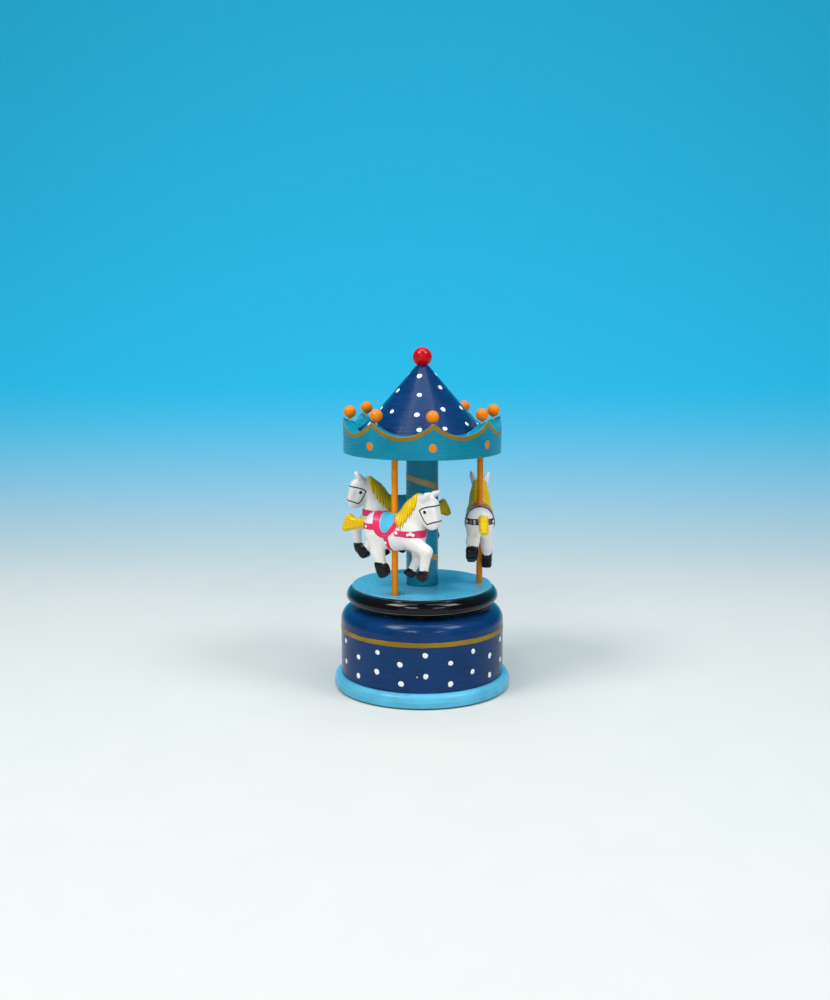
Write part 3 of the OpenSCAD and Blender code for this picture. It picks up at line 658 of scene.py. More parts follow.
def build_turntable(m):
    rim_low, rim_high = mm_box("turntable_rim")
    platform_high = mm_box("platform")[1]
    bottom, top = rim_low[2], platform_high[2]
    widest, disc = rim_high[0], platform_high[0]
    profile = [(0.0, bottom), (widest - 3.0, bottom)]
    profile += [(widest - 1.75 + 0.35 * math.sin(a), bottom + 0.35 - 0.35 * math.cos(a))
                for a in np.linspace(0, 1.4, 6)]
    lip_r, lip_z = widest - 1.35, bottom + 0.45
    profile += [(lip_r, lip_z), (lip_r + 0.05, lip_z + 0.25)]
    profile += [(widest - 1.75 + 1.75 * math.cos(a), bottom + 2.3 + 1.75 * math.sin(a))
                for a in np.linspace(-0.75, 0, 8)]
    sweep = 5.0
    profile += [(widest - sweep + sweep * math.cos(a), bottom + 2.3 + sweep * math.sin(a))
                for a in np.linspace(0.06, 1.03, 16)]
    step_z = profile[-1][1]
    profile += [(disc + 0.25, step_z + 0.15), (disc + 0.12, step_z + 0.35), (disc + 0.14, step_z + 0.5),
                (disc + 0.14, top - 0.55), (disc + 0.05, top - 0.42), (disc - 2.0, top - 0.41), (0.0, top - 0.41)]
    rim = lathe("turntable_rim_turned", profile)
    finish_piece(rim, "turntable", m["ring_lacquer"], ["turntable_rim"])

    plate = lathe("platform_disc", rounded([(0, top - 0.4), (disc, top - 0.4), (disc, top), (0, top)],
                                           [0, 0.1, 0.18, 0], steps=5))
    finish_piece(plate, "turntable", m["platform_blue"], ["platform"])

    stud_low, stud_high = mm_box("glide_stud")
    centre = (stud_low + stud_high) / 2
    dome = [(2.0 * math.cos(a), 2.0 * math.sin(a)) for a in np.linspace(-1.5, 0, 20)]
    stud = lathe("glide_stud_head", [(0.0, -2.0)] + dome + [(1.9, 0.4), (0.0, 0.4)], segments=64)
    shift(stud, centre[0], centre[1], stud_low[2] + 2.0)
    finish_piece(stud, "turntable", m["black_lacquer"], ["glide_stud"])

    column_low, column_high = mm_box("column")
    r = column_high[0]
    foot, head = column_low[2], column_high[2]
    profile = rounded([(0, foot), (r, foot), (r, head), (0, head)], [0, 0.2, 0.2, 0])
    # the column gets the darker copy of the light blue, painted shade under the crown
    column = lathe("column_turned", profile, segments=128)
    finish_piece(column, "turntable", m["crown_blue"], ["column"])

    # the painted helix, one long brush line round the column
    turns = np.array([-330, -270, -90, -8, 42, 62, 90, 270, 405, 450, 630, 765, 780, 850, 1050])
    heights = np.array([133.2, 130.2, 120.2, 117.9, 115.1, 114.0, 112.4, 100.6, 93.9, 91.3, 80.3, 74.6, 74.1,
                        69.5, 60.0])
    fine = np.arange(-325, 935, 5.0)
    z = np.interp(fine, turns, heights)
    kernel = np.ones(13) / 13
    z = np.convolve(np.pad(z, 6, "edge"), kernel, "valid")
    line = [(r * math.radians(a), h) for a, h in zip(fine, z)]
    brushed = relief_band(cylinder_surface(r), line, 1.5, thick=0.10, closed=False)
    stripe = join_parts("column_stripe", [brushed])
    finish_piece(stripe, "turntable", m["stripe_gold"])

    for i in (1, 2, 3):
        low, high = mm_box(f"pole_{i}")
        centre, radius = (low + high) / 2, (high[0] - low[0]) / 2
        section = [(0, low[2]), (radius, low[2]), (radius, high[2]), (0, high[2])]
        pole = lathe(f"pole_{i}_turned", rounded(section, [0, 0.15, 0.15, 0]), segments=64)
        shift(pole, centre[0], centre[1])
        finish_piece(pole, "turntable", m["pole_orange_paint"], [f"pole_{i}"])


def scallop_height(azimuth, r, low, cap):
    """Height of the crown's cut edge at an azimuth in degrees from the front, at radius r."""
    step = 360 / SCALLOPS
    off = (azimuth - BEAD_START) % step - step / 2
    z = low + SCALLOP_R - np.sqrt(SCALLOP_R ** 2 - (r * np.sin(np.radians(off))) ** 2)
    k = 0.9
    h = np.maximum(k - np.abs(z - cap), 0) / k
    return np.minimum(z, cap) - h * h * k / 4


def build_crown(m):
    low, high = mm_box("crown")
    bottom, outer = low[2], high[0]
    inner = outer - 7.0
    floor = mm_box("roof_cone")[0][2]
    valley = bottom + 12.4
    columns = 1080
    azimuth = np.arange(columns) * 360 / columns
    rows = []

    def cusp(r):
        half_chord = r * math.sin(math.radians(180 / SCALLOPS))
        return valley + SCALLOP_R - math.sqrt(SCALLOP_R ** 2 - half_chord ** 2)

    def ring(r, z):
        a = np.radians(azimuth - 90)
        rows.append(np.stack([r * np.cos(a), r * np.sin(a), np.broadcast_to(z, a.shape)], 1))

    ring(9.0, bottom)
    ring(outer - 2, bottom)
    for a in np.linspace(0, math.pi / 2, 5):
        ring(outer - 0.35 + 0.35 * math.sin(a), bottom + 0.35 - 0.35 * math.cos(a))
    edge = scallop_height(azimuth, outer, valley, cusp(outer) - 0.15)
    for share in np.linspace(0.06, 1, 16):
        ring(outer, bottom + 0.35 + (edge - 0.45 - bottom - 0.35) * share)
    for a in np.linspace(0.25, math.pi / 2, 5):
        ring(outer - 0.45 + 0.45 * math.cos(a), edge - 0.45 + 0.45 * math.sin(a))
    for share in np.linspace(0.08, 0.92, 8):
        r = outer - 0.45 - (outer - inner - 0.9) * share
        ring(r, scallop_height(azimuth, r, valley, cusp(r) - 0.15))
    edge_in = scallop_height(azimuth, inner, valley, cusp(inner) - 0.15)
    for a in np.linspace(math.pi / 2, 0.2, 5):
        ring(inner + 0.45 - 0.45 * math.cos(a), edge_in - 0.45 + 0.45 * math.sin(a))
    for share in np.linspace(0.9, 0.0, 8):
        ring(inner, floor + (edge_in - 0.45 - floor) * share)
    ring(inner - 4, floor)
    ring(9.0, floor)
    count = len(rows)
    verts = np.concatenate(rows) * MM
    last = (count - 1) * columns
    seam = grid_faces(2, columns, True) % columns + np.array([last, last, 0, 0])
    faces = np.concatenate([grid_faces(count, columns, True), seam])
    crown = new_object("crown_scalloped", verts, faces, sharp=60)
    # the crown gets the darker copy of the light blue, painted shade on its side
    finish_piece(crown, "turntable", m["crown_blue"], ["crown"])

    at = cylinder_surface(outer)
    band_azimuth = np.arange(0, 360, 0.5)
    edge = scallop_height(band_azimuth, outer, valley, cusp(outer) - 0.15)
    line = [(outer * math.radians(a), z - 1.35) for a, z in zip(band_azimuth, edge)]
    band = join_parts("crown_band", [relief_band(at, line, 1.05, thick=0.10)])
    finish_piece(band, "turntable", m["gold_paint"])

    dots = []
    for i in range(SCALLOPS):
        azimuth_i = BEAD_START - 1.2 + i * 45 + rng.uniform(-0.8, 0.8)
        dots.append(relief_dot(at, outer * math.radians(azimuth_i), 140.2 + rng.uniform(-0.3, 0.3),
                               2.15 + rng.uniform(-0.15, 0.15), thick=0.18))
    spots = join_parts("crown_dots", dots)
    finish_piece(spots, "turntable", m["orange_dot"])

    for i in range(1, 9):
        low, high = mm_box(f"bead_{i}")
        centre, radius = (low + high) / 2, (high[0] - low[0]) / 2
        bead = lathe(f"bead_{i}_turned", ball_profile(radius, centre[2]), segments=64)
        shift(bead, centre[0], centre[1])
        finish_piece(bead, "turntable", m["orange_paint"], [f"bead_{i}"])


# azimuth from the front in degrees, to the right, and height
CONE_DOTS = [(-11.4, 175.6), (87, 176.2), (178, 175.8), (-100, 176.0),
             (-64.5, 167.6), (-5.5, 165.9), (47.9, 169.5), (101, 167.6), (152, 166.6), (-154, 168.4), (-108, 166.8),
             (-43.2, 157.0), (-6.6, 155.9), (29.5, 158.4), (68.3, 158.3), (105, 156.8), (142, 158.0), (-179, 156.6),
             (-143, 157.8), (-110, 156.4), (-76, 157.9),
             (-2.9, 148.4), (23.0, 148.8), (54.5, 150.3), (84, 148.9), (113, 149.8), (142, 148.6), (171, 149.6),
             (-160, 148.5), (-131, 149.9), (-103, 148.7), (-74, 149.6)]


def build_roof(m):
    low, high = mm_box("roof_cone")
    base_r, bottom, top = high[0], low[2], high[2]
    top_r = SLOPE * (APEX - top)
    profile = rounded([(0, bottom), (base_r, bottom), (top_r, top), (0, top)], [0, 0.25, 0.3, 0])
    cone = lathe("roof_cone_turned", profile)
    finish_piece(cone, "turntable", m["navy_paint"], ["roof_cone"])

    at_angle = cone_surface(SLOPE, APEX)
    dots = [relief_dot(at_angle(a), 0.0, z, 1.4 + rng.uniform(-0.12, 0.12), stretch=0.76)
            for a, z in CONE_DOTS]
    spots = join_parts("roof_dots", dots)
    finish_piece(spots, "turntable", m["white_paint"])

    ball_low, ball_high = mm_box("finial_ball")
    radius = (ball_high[0] - ball_low[0]) / 2
    centre = ball_high[2] - radius
    ball = lathe("finial_ball_turned", ball_profile(radius, centre, ball_low[2] + 0.02), segments=128)
    finish_piece(ball, "turntable", m["red_paint"], ["finial_ball"])


# ------------------------------------------------------------------ horses

def smooth_min(a, b, k):
    h = np.maximum(k - np.abs(a - b), 0) / k
    return np.minimum(a, b) - h * h * k * 0.25


def smooth_max(a, b, k):
    return -smooth_min(-a, -b, k)


def cone(p, a, b, ra, rb, ky=1.0):
    """Distance to a rounded limb from a to b whose radius goes from ra to rb, ky times as wide as it is deep."""
    x, y, z = p
    ab = np.subtract(b, a)
    ux, uy, uz = x - a[0], (y - a[1]) / ky, z - a[2]
    vy = ab[1] / ky
    t = np.clip((ux * ab[0] + uy * vy + uz * ab[2]) / (ab[0] ** 2 + vy ** 2 + ab[2] ** 2), 0, 1)
    return np.sqrt((ux - t * ab[0]) ** 2 + (uy - t * vy) ** 2 + (uz - t * ab[2]) ** 2) - (ra + (rb - ra) * t)


def chain(p, points, k, ky=1.0):
    """A limb through points of (x, y, z, radius)."""
    out = None
    for a, b in zip(points, points[1:]):
        d = cone(p, a[:3], b[:3], a[3], b[3], ky)
        out = d if out is None else smooth_min(out, d, k)
    return out


def outline(points, steps=6):
    """A smooth closed curve through the points."""
    points = np.array(points, float)
    count = len(points)
    out = []
    for i in range(count):
        p0, p1, p2, p3 = (points[(i + j) % count] for j in (-1, 0, 1, 2))
        for t in np.linspace(0, 1, steps, endpoint=False):
            out.append(0.5 * (2 * p1 + (p2 - p0) * t + (2 * p0 - 5 * p1 + 4 * p2 - p3) * t ** 2
                              + (3 * p1 - p0 - 3 * p2 + p3) * t ** 3))
    return np.array(out)


def inside(x, z, points):
    """Signed distance to a closed outline in the side view, less than zero inside it."""
    points = np.asarray(points, float)
    best = np.full(np.broadcast(x, z).shape, 1e9)
    sign = np.ones_like(best)
    for (ax, az), (bx, bz) in zip(points, np.roll(points, -1, 0)):
        ex, ez = bx - ax, bz - az
        wx, wz = x - ax, z - az
        t = np.clip((wx * ex + wz * ez) / (ex * ex + ez * ez + 1e-12), 0, 1)
        best = np.minimum(best, (wx - t * ex) ** 2 + (wz - t * ez) ** 2)
        up, down, left = z >= az, z < bz, ex * wz > ez * wx
        sign = np.where((up & down & left) | (~up & ~down & ~left), -sign, sign)
    return sign * np.sqrt(best)


def near_line(x, z, points):
    best = 1e9
    for (ax, az), (bx, bz) in zip(points, points[1:]):
        ex, ez = bx - ax, bz - az
        wx, wz = x - ax, z - az
        t = np.clip((wx * ex + wz * ez) / (ex * ex + ez * ez + 1e-12), 0, 1)
        best = np.minimum(best, np.sqrt((wx - t * ex) ** 2 + (wz - t * ez) ** 2))
    return best


def slab(p, points, y0, half, rounding, smooth=3):
    """A plate cut to an outline in the side view, half thick each side of y0, its edges rounded."""
    x, y, z = p
    flat = inside(x, z, outline(points, smooth)) + rounding
    deep = np.abs(y - y0) - half + rounding
    outer = np.sqrt(np.maximum(flat, 0) ** 2 + np.maximum(deep, 0) ** 2)
    return np.minimum(np.maximum(flat, deep), 0) + outer - rounding


HOOVES = [
    ([(17.7, 16.0), (20.6, 16.8), (23.4, 16.4), (22.3, 11.6), (19.8, 11.2), (17.2, 12.6)], -5.0, 2.7),
    ([(5.6, 14.6), (8.0, 15.2), (10.0, 13.6), (9.2, 10.4), (6.2, 10.8), (3.8, 12.6)], 4.4, 2.7),
    ([(-9.5, 17.6), (-6.0, 18.4), (-2.9, 17.4), (-1.5, 13.6), (-3.4, 10.8), (-6.7, 10.6)], -4.0, 2.8),
    ([(-23.9, 25.0), (-21.0, 24.8), (-18.4, 22.4), (-20.8, 18.2), (-23.5, 18.4), (-25.6, 21.3)], 4.3, 3.4),
]
TAIL = [(-17.0, 40.4), (-20.5, 40.9), (-23.6, 40.7), (-26.2, 41.2), (-28.8, 42.7), (-30.5, 41.9), (-32.3, 38.6),
        (-33.5, 35.4), (-33.6, 33.4), (-31.2, 32.5), (-28.0, 33.5), (-24.9, 34.3), (-19.4, 35.8), (-17.0, 36.2)]
BLANKET = [(-12.4, 50), (-11.8, 47), (-10.4, 43.5), (-9.4, 40), (-8.9, 36.9), (-7.2, 34.3), (-4.5, 32.8),
           (-0.9, 33.1), (2.2, 35.2), (4.8, 38.4), (6, 42), (5.4, 45), (4.6, 50)]
SADDLE = [(-8.3, 50), (-7.6, 47), (-6.6, 44), (-5.9, 41), (-5.2, 38.4), (-4.1, 36.6), (-2.2, 35.7), (-0.2, 36.4),
          (1.4, 38.4), (2.9, 41.4), (2.6, 44.2), (1.0, 50)]
BREAST = [(4.3, 37.5), (7.5, 37.4), (10.9, 37.5), (14.5, 37.6), (18.2, 38), (24, 37.2), (24, 33.6), (17, 34.1),
          (10.9, 34), (7.5, 34.2), (4.1, 34.5)]
GIRTH = [(-3.1, 34.2), (0.1, 34.2), (0.6, 31), (0.8, 27.8), (0.9, 22), (-1.9, 22), (-1.8, 27.5), (-2.3, 31)]
CRUPPER_LOW = [(-8.5, 39.6), (-13, 39.7), (-17, 39.8), (-22, 40.4), (-22, 37.0), (-17, 36.4), (-13, 36.4),
               (-8.6, 36.4)]
RIGHT_MANE = [((14.4, 56.2), (14.9, 48.6), 1.35), ((12.9, 55.4), (13.4, 46.6), 1.45),
              ((11.2, 54.2), (12.0, 45.0), 1.5), ((9.7, 52.6), (10.5, 42.4), 1.5),
              ((8.2, 51.0), (9.2, 39.8), 1.5), ((6.6, 49.4), (7.5, 37.9), 1.4),
              ((5.1, 47.4), (5.8, 39), 1.3), ((3.7, 45.4), (4.4, 41), 1.2)]
LEFT_MANE = [((14.0, 56.2), (13.9, 47.6), 1.6), ((12.3, 55.0), (11.6, 44.6), 1.5), ((10.6, 53.6), (9.9, 42.0), 1.7),
             ((8.6, 51.8), (8.3, 40.4), 1.6), ((6.8, 49.8), (6.6, 38.8), 1.5), ((5.0, 47.4), (5.4, 37.4), 1.5),
             ((3.4, 44.8), (3.8, 38), 1.3)]
CREST = [(15.6, 0, 55.0, 1.3), (12.6, 0, 53.1, 1.7), (9.5, 0, 50.7, 1.8), (7.0, 0, 48.4, 1.7), (4.9, 0, 45.5, 1.5),
         (2.8, 0, 43.4, 1.0)]


def horse_torso(p):
    barrel = chain(p, [(-10.0, 0, 37.2, 8.2), (0, 0, 34.9, 9.3), (10.0, 0, 35.4, 9.0)], 3.0, 0.80)
    rump = smooth_min(cone(p, (-11.2, -1.7, 38.0), (-11.2, 1.7, 38.0), 5.6, 5.6), barrel, 3.0)
    neck = chain(p, [(9.0, 0, 40.2, 7.8), (12.8, 0, 47.2, 5.7), (16.4, 0, 52.3, 4.3)], 3.0, 0.80)
    return smooth_min(rump, neck, 3.0)


def horse_legs(p):
    limbs = [
        smooth_min(cone(p, (12.8, -3.3, 31.5), (22.3, -4.7, 27.3), 5.0, 3.1, 0.88),
                   cone(p, (22.3, -4.7, 27.3), (21.0, -5.0, 17.5), 3.1, 2.4), 1.6),
        smooth_min(cone(p, (11.8, 3.3, 30.0), (12.4, 4.2, 21.2), 4.8, 3.0, 0.88),
                   cone(p, (12.4, 4.2, 21.2), (8.6, 4.4, 14.9), 3.0, 2.3), 1.6),
        smooth_min(cone(p, (-9.8, -3.2, 33.0), (-8.4, -4.0, 23.8), 6.2, 4.0, 0.72),
                   cone(p, (-8.4, -4.0, 23.8), (-6.3, -4.1, 17.8), 3.8, 3.0, 0.88), 1.8),
        smooth_min(cone(p, (-11.0, 3.2, 33.0), (-16.3, 3.9, 27.0), 5.8, 3.7, 0.78),
                   cone(p, (-16.2, 3.9, 27.4), (-20.2, 4.3, 23.2), 3.6, 2.9, 1.05), 1.8),
    ]
    out = limbs[0]
    for limb in limbs[1:]:
        out = np.minimum(out, limb)
    for points, side, half in HOOVES:
        out = smooth_min(out, slab(p, points, side, half, 1.5, 4), 0.8)
    return out


EARS_LOW = [(19.4, 2.9, 54.9, 2.1), (22.2, 4.3, 57.0, 1.6), (24.1, 5.0, 58.2, 0.95)]
EARS_SHORT = [(19.4, 2.9, 54.9, 2.1), (21.3, 4.0, 57.2, 1.6), (22.0, 4.5, 58.5, 1.15)]
EARS_HIGH = [(19.4, 2.9, 55.2, 2.1), (22.0, 4.2, 58.2, 1.5), (23.3, 4.85, 60.0, 0.85)]


def horse_head(p, ear_line=EARS_HIGH):
    x, y, z = p
    ay = np.abs(y)
    flat = (x, np.maximum(ay - 1.8, 0), z)
    skull = chain(flat, [(17.2, 0, 52.2, 4.3), (21.5, 0, 50.7, 4.5), (22.3, 0, 47.0, 4.2), (23.4, 0, 43.7, 3.8),
                         (23.7, 0, 42.1, 3.6)], 2.0, 0.46)
    flat = (x, np.maximum(ay - 1.5, 0), z)
    jaw = chain(flat, [(18.0, 0, 48.9, 3.7), (19.9, 0, 45.4, 3.3), (21.6, 0, 42.8, 3.0)], 1.2, 0.55)
    face = smooth_min(skull, jaw, 1.8)
    hollow = np.sqrt((x - 24.0) ** 2 + (ay - 6.1) ** 2 + ((z - 46.3) / 1.3) ** 2) - 2.75
    brow = np.sqrt((x - 20.9) ** 2 + (ay - 2.9) ** 2 + (z - 49.5) ** 2) - 1.35
    face = smooth_min(smooth_max(face, -hollow, 1.4), brow, 1.2)
    ears = chain((x, ay, z), ear_line, 0.6)
    (mx, my, mz, _), (tx, ty, tz, _) = ear_line[1:]
    dent = cone((x, ay, z), (mx + 1.1, my - 0.7, mz - 1.0), (tx + 0.9, ty - 0.4, tz - 0.5), 0.75, 0.3)
    return smooth_min(face, smooth_max(ears, -dent, 0.6), 1.2)


def horse_body(p, head=True, ear_line=EARS_HIGH):
    out = smooth_min(horse_torso(p), horse_legs(p), 2.0)
    return smooth_min(out, horse_head(p, ear_line), 2.2) if head else out


def mane_height(x, y, z):
    """How thick the mane is over the neck, and the distance to its outline in the side view."""
    out, edge = [], []
    for strands, wave, mass, merge in ((RIGHT_MANE, 0.20, 0.45, 0.9), (LEFT_MANE, 0.15, 0.35, 0.8)):
        height = np.zeros(np.broadcast(x, z).shape, np.float32)
        gap = np.full(height.shape, 9.0, np.float32)
        for i, ((ax, az), (bx, bz), r) in enumerate(strands):
            ex, ez = bx - ax, bz - az
            t = np.clip(((x - ax) * ex + (z - az) * ez) / (ex * ex + ez * ez), 0, 1)
            bend = wave * np.sin(t * 5.0 + i * 1.7)
            d = np.sqrt((x - ax - t * ex - bend) ** 2 + (z - az - t * ez) ** 2)
            width = r * (1 - 0.80 * t ** 1.7)
            rise = (0.45 + 0.45 * min(r, 1.5)) * np.sqrt(np.maximum(1 - (d / width) ** 2, 0)) * (1 - 0.35 * t)
            height = np.maximum(height, rise)
            gap = smooth_min(gap, d - width, merge)
        out.append(np.maximum(height, mass * np.clip(-gap / 0.5 + 0.6, 0, 1)))
        edge.append(gap)
    right = y < 0
    return np.where(right, out[0], out[1]), np.where(right, edge[0], edge[1])


def sample(low, high, step):
    step = step * 1.0
    axes = [np.arange(low[i], high[i] + step, step, dtype=np.float32) for i in range(3)]
    return step, low, np.meshgrid(*axes, indexing="ij", sparse=True)


def true_distance(field, step):
    gx, gy, gz = np.gradient(field, step)
    return field / np.clip(np.sqrt(gx * gx + gy * gy + gz * gz), 0.4, 2.5)


def surface_of(field, step, low):
    """The zero surface of a sampled distance field as points and quads, in millimetres."""
    field = np.pad(np.broadcast_to(field, field.shape).astype(np.float32), 1, constant_values=2.0)
    grid = openvdb.FloatGrid()
    grid.copyFromArray(np.ascontiguousarray(field))
    grid.transform = openvdb.createLinearTransform(voxelSize=step)
    points, quads = grid.convertToQuads(isovalue=0.0)
    return points + np.array(low) - step, quads[:, ::-1]


def paint_layer(shape, low, high, step, thick, region, soft=0.25):
    """A coat of paint or a strap: the skin of a shape, thick over it, inside a region."""
    step, low, p = sample(low, high, step)
    field = true_distance(shape(p), step)
    coat = smooth_max(field - thick(p) if callable(thick) else field - thick, region(p), soft)
    coat = np.maximum(coat, -(field + 0.6))
    return surface_of(coat, step, low)


def jagged(p, size, phase):
    x, y, _ = p
    broad = np.sin(x * 2.3 + phase) * np.sin(y * 2.1 + phase * 2)
    return size * (broad + 0.6 * np.sin(x * 4.9 + y * 4.1 + phase * 3) + 0.4 * np.sin(y * 8.3 - x * 7.1 + phase))


def tail_lines(x, y, z):
    """Lines that fan out along the tail: the distance from the nearest one, and how far down the tail it is."""
    fan = np.degrees(np.arctan2(z - 38.6, -(x + 8.0)))
    waved = fan + 0.35 * np.sin(x * 0.9) + 0.25 * np.sin(y * 1.3)
    return np.abs((waved / 4.6) % 1 - 0.5), np.clip((-x - 18.5) / 5, 0, 1)


def horse_meshes():
    """Each part of one horse as points and quads, nose along +X, feet above Z = 0, the pole on the Z axis."""
    out = {}
    step, low, p = sample((-30, -11.5, 8.5), (29, 11.5, 62), 0.30)
    out["body"] = surface_of(true_distance(horse_body(p), step), step, low)
    out["body_low_ears"] = surface_of(true_distance(horse_body(p, ear_line=EARS_LOW), step), step, low)
    out["body_short_ears"] = surface_of(true_distance(horse_body(p, ear_line=EARS_SHORT), step), step, low)

    step, low, p = sample((-35, -3.6, 31), (-15.5, 3.6, 44.5), 0.20)
    tail = slab(p, TAIL, 0, 2.5, 2.1)
    lines, far = tail_lines(*p)
    out["tail"] = surface_of(tail + 0.10 * far * np.exp(-(lines / 0.16) ** 2), step, low)

    hooves = []
    for i, (points, side, half) in enumerate(HOOVES):
        xs, zs = [q[0] for q in points], [q[1] for q in points]
        ring = outline(points, 3)

        def region(p, ring=ring, side=side, half=half, i=i):
            x, y, z = p
            flat = inside(x, z, ring) - 0.45 + jagged(p, 0.22, i * 1.9)
            return np.maximum(flat, np.abs(y - side) - half - 0.8)
        low = (min(xs) - 1.5, side - half - 1.4, min(zs) - 1.2)
        high = (max(xs) + 1.5, side + half + 1.4, max(zs) + 1.6)
        hooves.append(paint_layer(horse_legs, low, high, 0.20, 0.10, region, 0.2))
    out["hooves"] = hooves

    blanket, saddle = outline(BLANKET), outline(SADDLE)

    def body_only(p):
        return horse_body(p, False)

    def blanket_rim(p):
        return np.maximum(inside(p[0], p[2], blanket), -inside(p[0], p[2], saddle)) + 0 * p[1]

    def seat(p):
        return inside(p[0], p[2], saddle) + 0.35 + 0 * p[1]
    out["blanket"] = paint_layer(body_only, (-13, -10.5, 31.5), (7, 10.5, 48), 0.20, 0.40, blanket_rim)
    out["saddle"] = paint_layer(body_only, (-9.5, -10.5, 34), (4.5, 10.5, 48), 0.20, 0.45, seat, 0.4)

    def beside_blanket(points):
        ring = outline(points, 3)
        return lambda p: np.maximum(inside(p[0], p[2], ring), -inside(p[0], p[2], blanket)) + 0 * p[1]
    out["straps"] = [
        paint_layer(body_only, (3.2, -10.5, 32.5), (24, 10.5, 39), 0.20, 0.20, beside_blanket(BREAST)),
        paint_layer(body_only, (-4.2, -10.5, 23.5), (2.2, 10.5, 35.5), 0.20, 0.20, beside_blanket(GIRTH)),
        paint_layer(horse_torso, (-21, -10.5, 34.5), (-7, 10.5, 41.5), 0.20, 0.24, beside_blanket(CRUPPER_LOW)),
    ]

    gem_list = [((5.3, 36.2), 1.0), ((12.3, 35.7), 0.85), ((13.7, 36.3), 1.0), ((15.1, 35.6), 0.85),
                ((20.6, 36.0), 0.7), ((-1.5, 30.1), 0.9), ((-13.9, 38.0), 0.85)]

    def gem(x0, z0, r):
        def disc(p):
            return np.sqrt((p[0] - x0) ** 2 + (p[2] - z0) ** 2) - r + 0 * p[1]
        low, high = (x0 - r - 0.8, -10.5, z0 - r - 0.8), (x0 + r + 0.8, 10.5, z0 + r + 0.8)
        return paint_layer(body_only, low, high, 0.18, 0.42, disc, 0.5)

    # what the horse on the right wears besides: a dark edge on the blanket, square stones on the band
    out["trim"] = paint_layer(body_only, (-13.5, -10.5, 31.5), (7.5, 10.5, 48), 0.20, 0.55,
                              lambda p: np.abs(inside(p[0], p[2], blanket) + 0.8) - 0.95 + 0 * p[1])

    def stone(y0):
        def square(p):
            return np.maximum(np.maximum(np.abs(p[1] - y0) - 0.75, np.abs(p[2] - 38.1) - 1.3), p[0] + 10)
        return paint_layer(horse_torso, (-20, y0 - 1.6, 36), (-9, y0 + 1.6, 40.4), 0.18, 0.40, square, 0.35)
    out["stones_pale"] = [stone(3.1), stone(-3.0)]
    out["stones_rust"] = [stone(5.2), stone(-5.3)]
    out["gems"] = [gem(x0, z0, r) for (x0, z0), r in gem_list]

    brow = [(17.6, 48.7), (19.0, 49.8), (21.1, 50.6), (23.5, 51.2), (26.0, 51.6), (30, 51.9)]
    strap = [(17.6, 48.7), (18.8, 46.0), (20.2, 43.4), (22.0, 41.6), (24.3, 42.4), (26.5, 43.2), (30, 43.7)]

    def drawn_line(p):
        return np.minimum(near_line(p[0], p[2], brow), near_line(p[0], p[2], strap)) - 0.35 + 0 * p[1]

    def eye(p):
        return np.maximum(np.sqrt((p[0] - 20.8) ** 2 + (p[2] - 48.1) ** 2) - 0.95, 2.0 - np.abs(p[1]))
    out["bridle"] = paint_layer(horse_body, (16, -5.5, 40), (29, 5.5, 54), 0.15, 0.11, drawn_line, 0.1)
    out["eyes"] = paint_layer(horse_body, (19, -5.8, 46.5), (22.8, 5.8, 49.8), 0.12, 0.16, eye, 0.2)

    # the mane: strands over the neck, and a crest where they meet
    step, low, p = sample((0.5, -9.5, 35.5), (19, 9.5, 60), 0.18)
    x, y, z = p
    skin = true_distance(horse_body(p), step)
    height, gap = mane_height(x, y, z)
    strands = np.maximum(np.maximum(skin - height, -(skin + 0.6)), gap)
    crest = chain(p, CREST, 1.5, 0.95) + 0.05 * np.sin(x * 3.4 + z * 3.4 + y * 1.2)
    mane = smooth_min(strands, crest, 0.5)
    out["mane"] = surface_of(mane, step, low)
    return out


def mesh_piece(name, parts):
    """One mesh out of one or more (points, quads), scaled to metres."""
    parts = parts if isinstance(parts, list) else [parts]
    start, verts, faces = 0, [], []
    for points, quads in parts:
        verts.append(points)
        faces.append(quads.astype(np.int32) + start)
        start += len(points)
    return new_object(name, np.concatenate(verts) * MM, np.concatenate(faces))


def groove_shade_attribute(obj, values):
    layer = obj.data.attributes.new("groove", "FLOAT", "POINT")
    layer.data.foreach_set("value", np.clip(values, 0, 1).astype(np.float32))


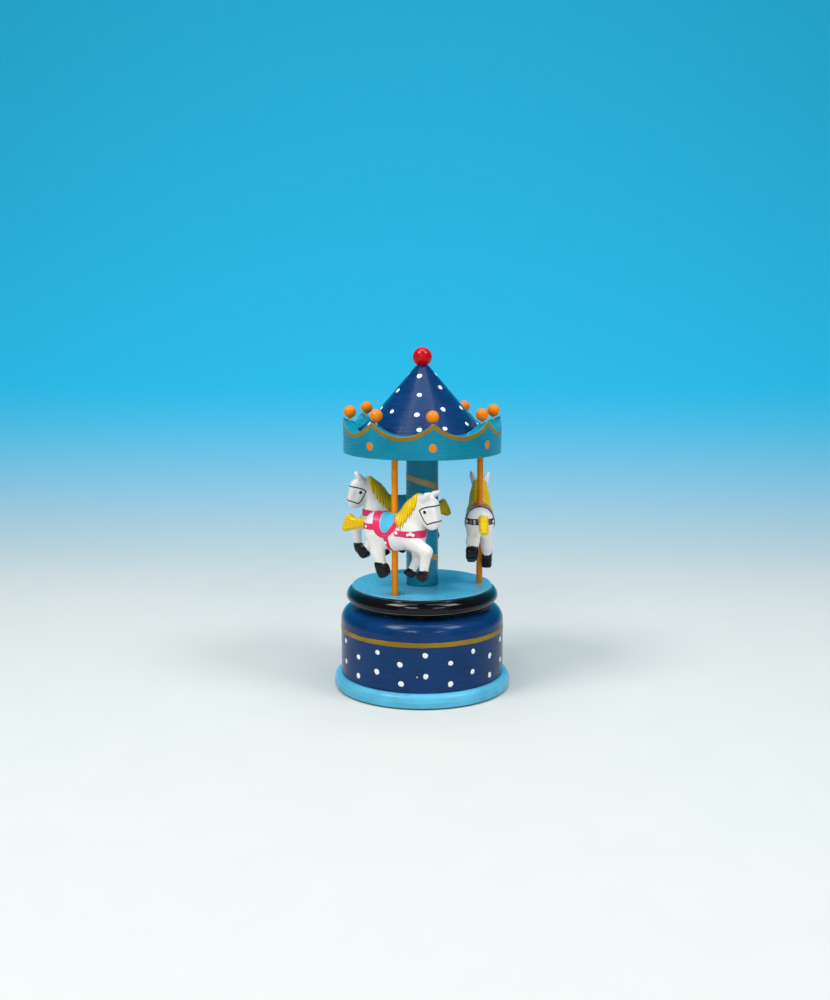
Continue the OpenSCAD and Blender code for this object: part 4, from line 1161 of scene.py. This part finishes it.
def build_horses(m):
    parts = horse_meshes()
    base = {}
    for name, data in parts.items():
        base[name] = mesh_piece(f"pattern_{name}", data)
    # painted shade in the mane's grooves: darker where the strands thin out between them, on the flanks only
    co = np.array([v.co for v in base["mane"].data.vertices]) / MM
    height, gap = mane_height(co[:, 0], co[:, 1], co[:, 2])
    flank = np.clip((np.abs(co[:, 1]) - 1.6) / 1.6, 0, 1)
    groove_shade_attribute(base["mane"], np.where(gap < 0.6, 1.05 - height / 0.70, 0.0) * flank)
    # painted shade along the tail's carved lines, on the flanks only
    co = np.array([v.co for v in base["tail"].data.vertices]) / MM
    lines, far = tail_lines(*co.T)
    flank = np.clip((np.abs(co[:, 1]) - 1.2) / 1.0, 0, 1)
    groove_shade_attribute(base["tail"], 0.28 * far * flank * np.exp(-(lines / 0.14) ** 2))

    floor = mm_box("platform")[1][2]
    looks = {"body": ("horse_white_paint", "horse_white_paint"), "mane": ("yellow_paint", "yellow_paint"),
             "tail": ("yellow_paint", "yellow_paint"), "hooves": ("hoof_black", "black_lacquer"),
             "blanket": ("pink_paint", "pink_paint"), "saddle": ("saddle_blue", "light_blue_paint"),
             "straps": ("pink_paint", "pink_paint"), "gems": ("white_paint", "white_paint"),
             "bridle": ("line_black", "black_lacquer"), "eyes": ("hoof_black", "black_lacquer")}
    front_looks = {("body_low_ears" if name == "body" else name): look for name, look in looks.items()}
    back_looks = {("body_short_ears" if name == "body" else name): look for name, look in looks.items()}
    side_looks = dict(looks, saddle=("mauve_paint", "pink_paint"), straps=("dark_strap", "black_lacquer"),
                      blanket=("mauve_paint", "pink_paint"), trim=("dark_strap", "black_lacquer"),
                      stones_pale=("stone_pale", "white_paint"), stones_rust=("stone_rust", "red_paint"))
    tail_turns = ((0.0, 0.0, 0.0), (4.0, -0.8, 1.0), (-13.0, 0.0, 0.0))
    horses = ((1, -3, 0.0, front_looks), (2, -5, 0.0, side_looks), (3, -17, 1.0, back_looks))
    for i, turn, lift, edge_wear_and_highlight in horses:
        low, high = mm_box(f"pole_{i}")
        x, y = ((low + high) / 2)[:2]
        heading = math.atan2(y, x) + math.radians(90 + turn)
        place = Matrix.Translation((x * MM, y * MM, (floor + lift) * MM)) @ Matrix.Rotation(heading, 4, "Z")
        root = Matrix.Translation((-15.0 * MM, 0, 0))
        turn_by, aside, up = tail_turns[i - 1]
        swing = root @ Matrix.Rotation(math.radians(turn_by), 4, "Z") @ root.inverted()
        bend = Matrix.Translation((0, aside * MM, up * MM)) @ swing
        for name, (look, slot) in edge_wear_and_highlight.items():
            piece = "body" if "body" in name else name
            obj = bpy.data.objects.new(f"horse_{i}_{piece}", base[name].data.copy())
            bpy.context.scene.collection.objects.link(obj)
            obj.data.transform(place @ bend if name == "tail" else place)
            finish_piece(obj, "turntable", m[look], [f"horse_{i}"] if "body" in name else ())
    for obj in base.values():
        bpy.data.objects.remove(obj)


def main():
    m = make_materials()
    set_stage()
    drum_details(m, build_base(m))
    build_turntable(m)
    build_crown(m)
    build_roof(m)
    build_horses(m)
    for node, obj in frame["nodes"].items():
        slot_name = next(s["material_slot"] for s in frame["record"]["subparts"] if s["node"] == node)
        for material_slot in obj.material_slots:
            material_slot.material = m[slot_name]


main()
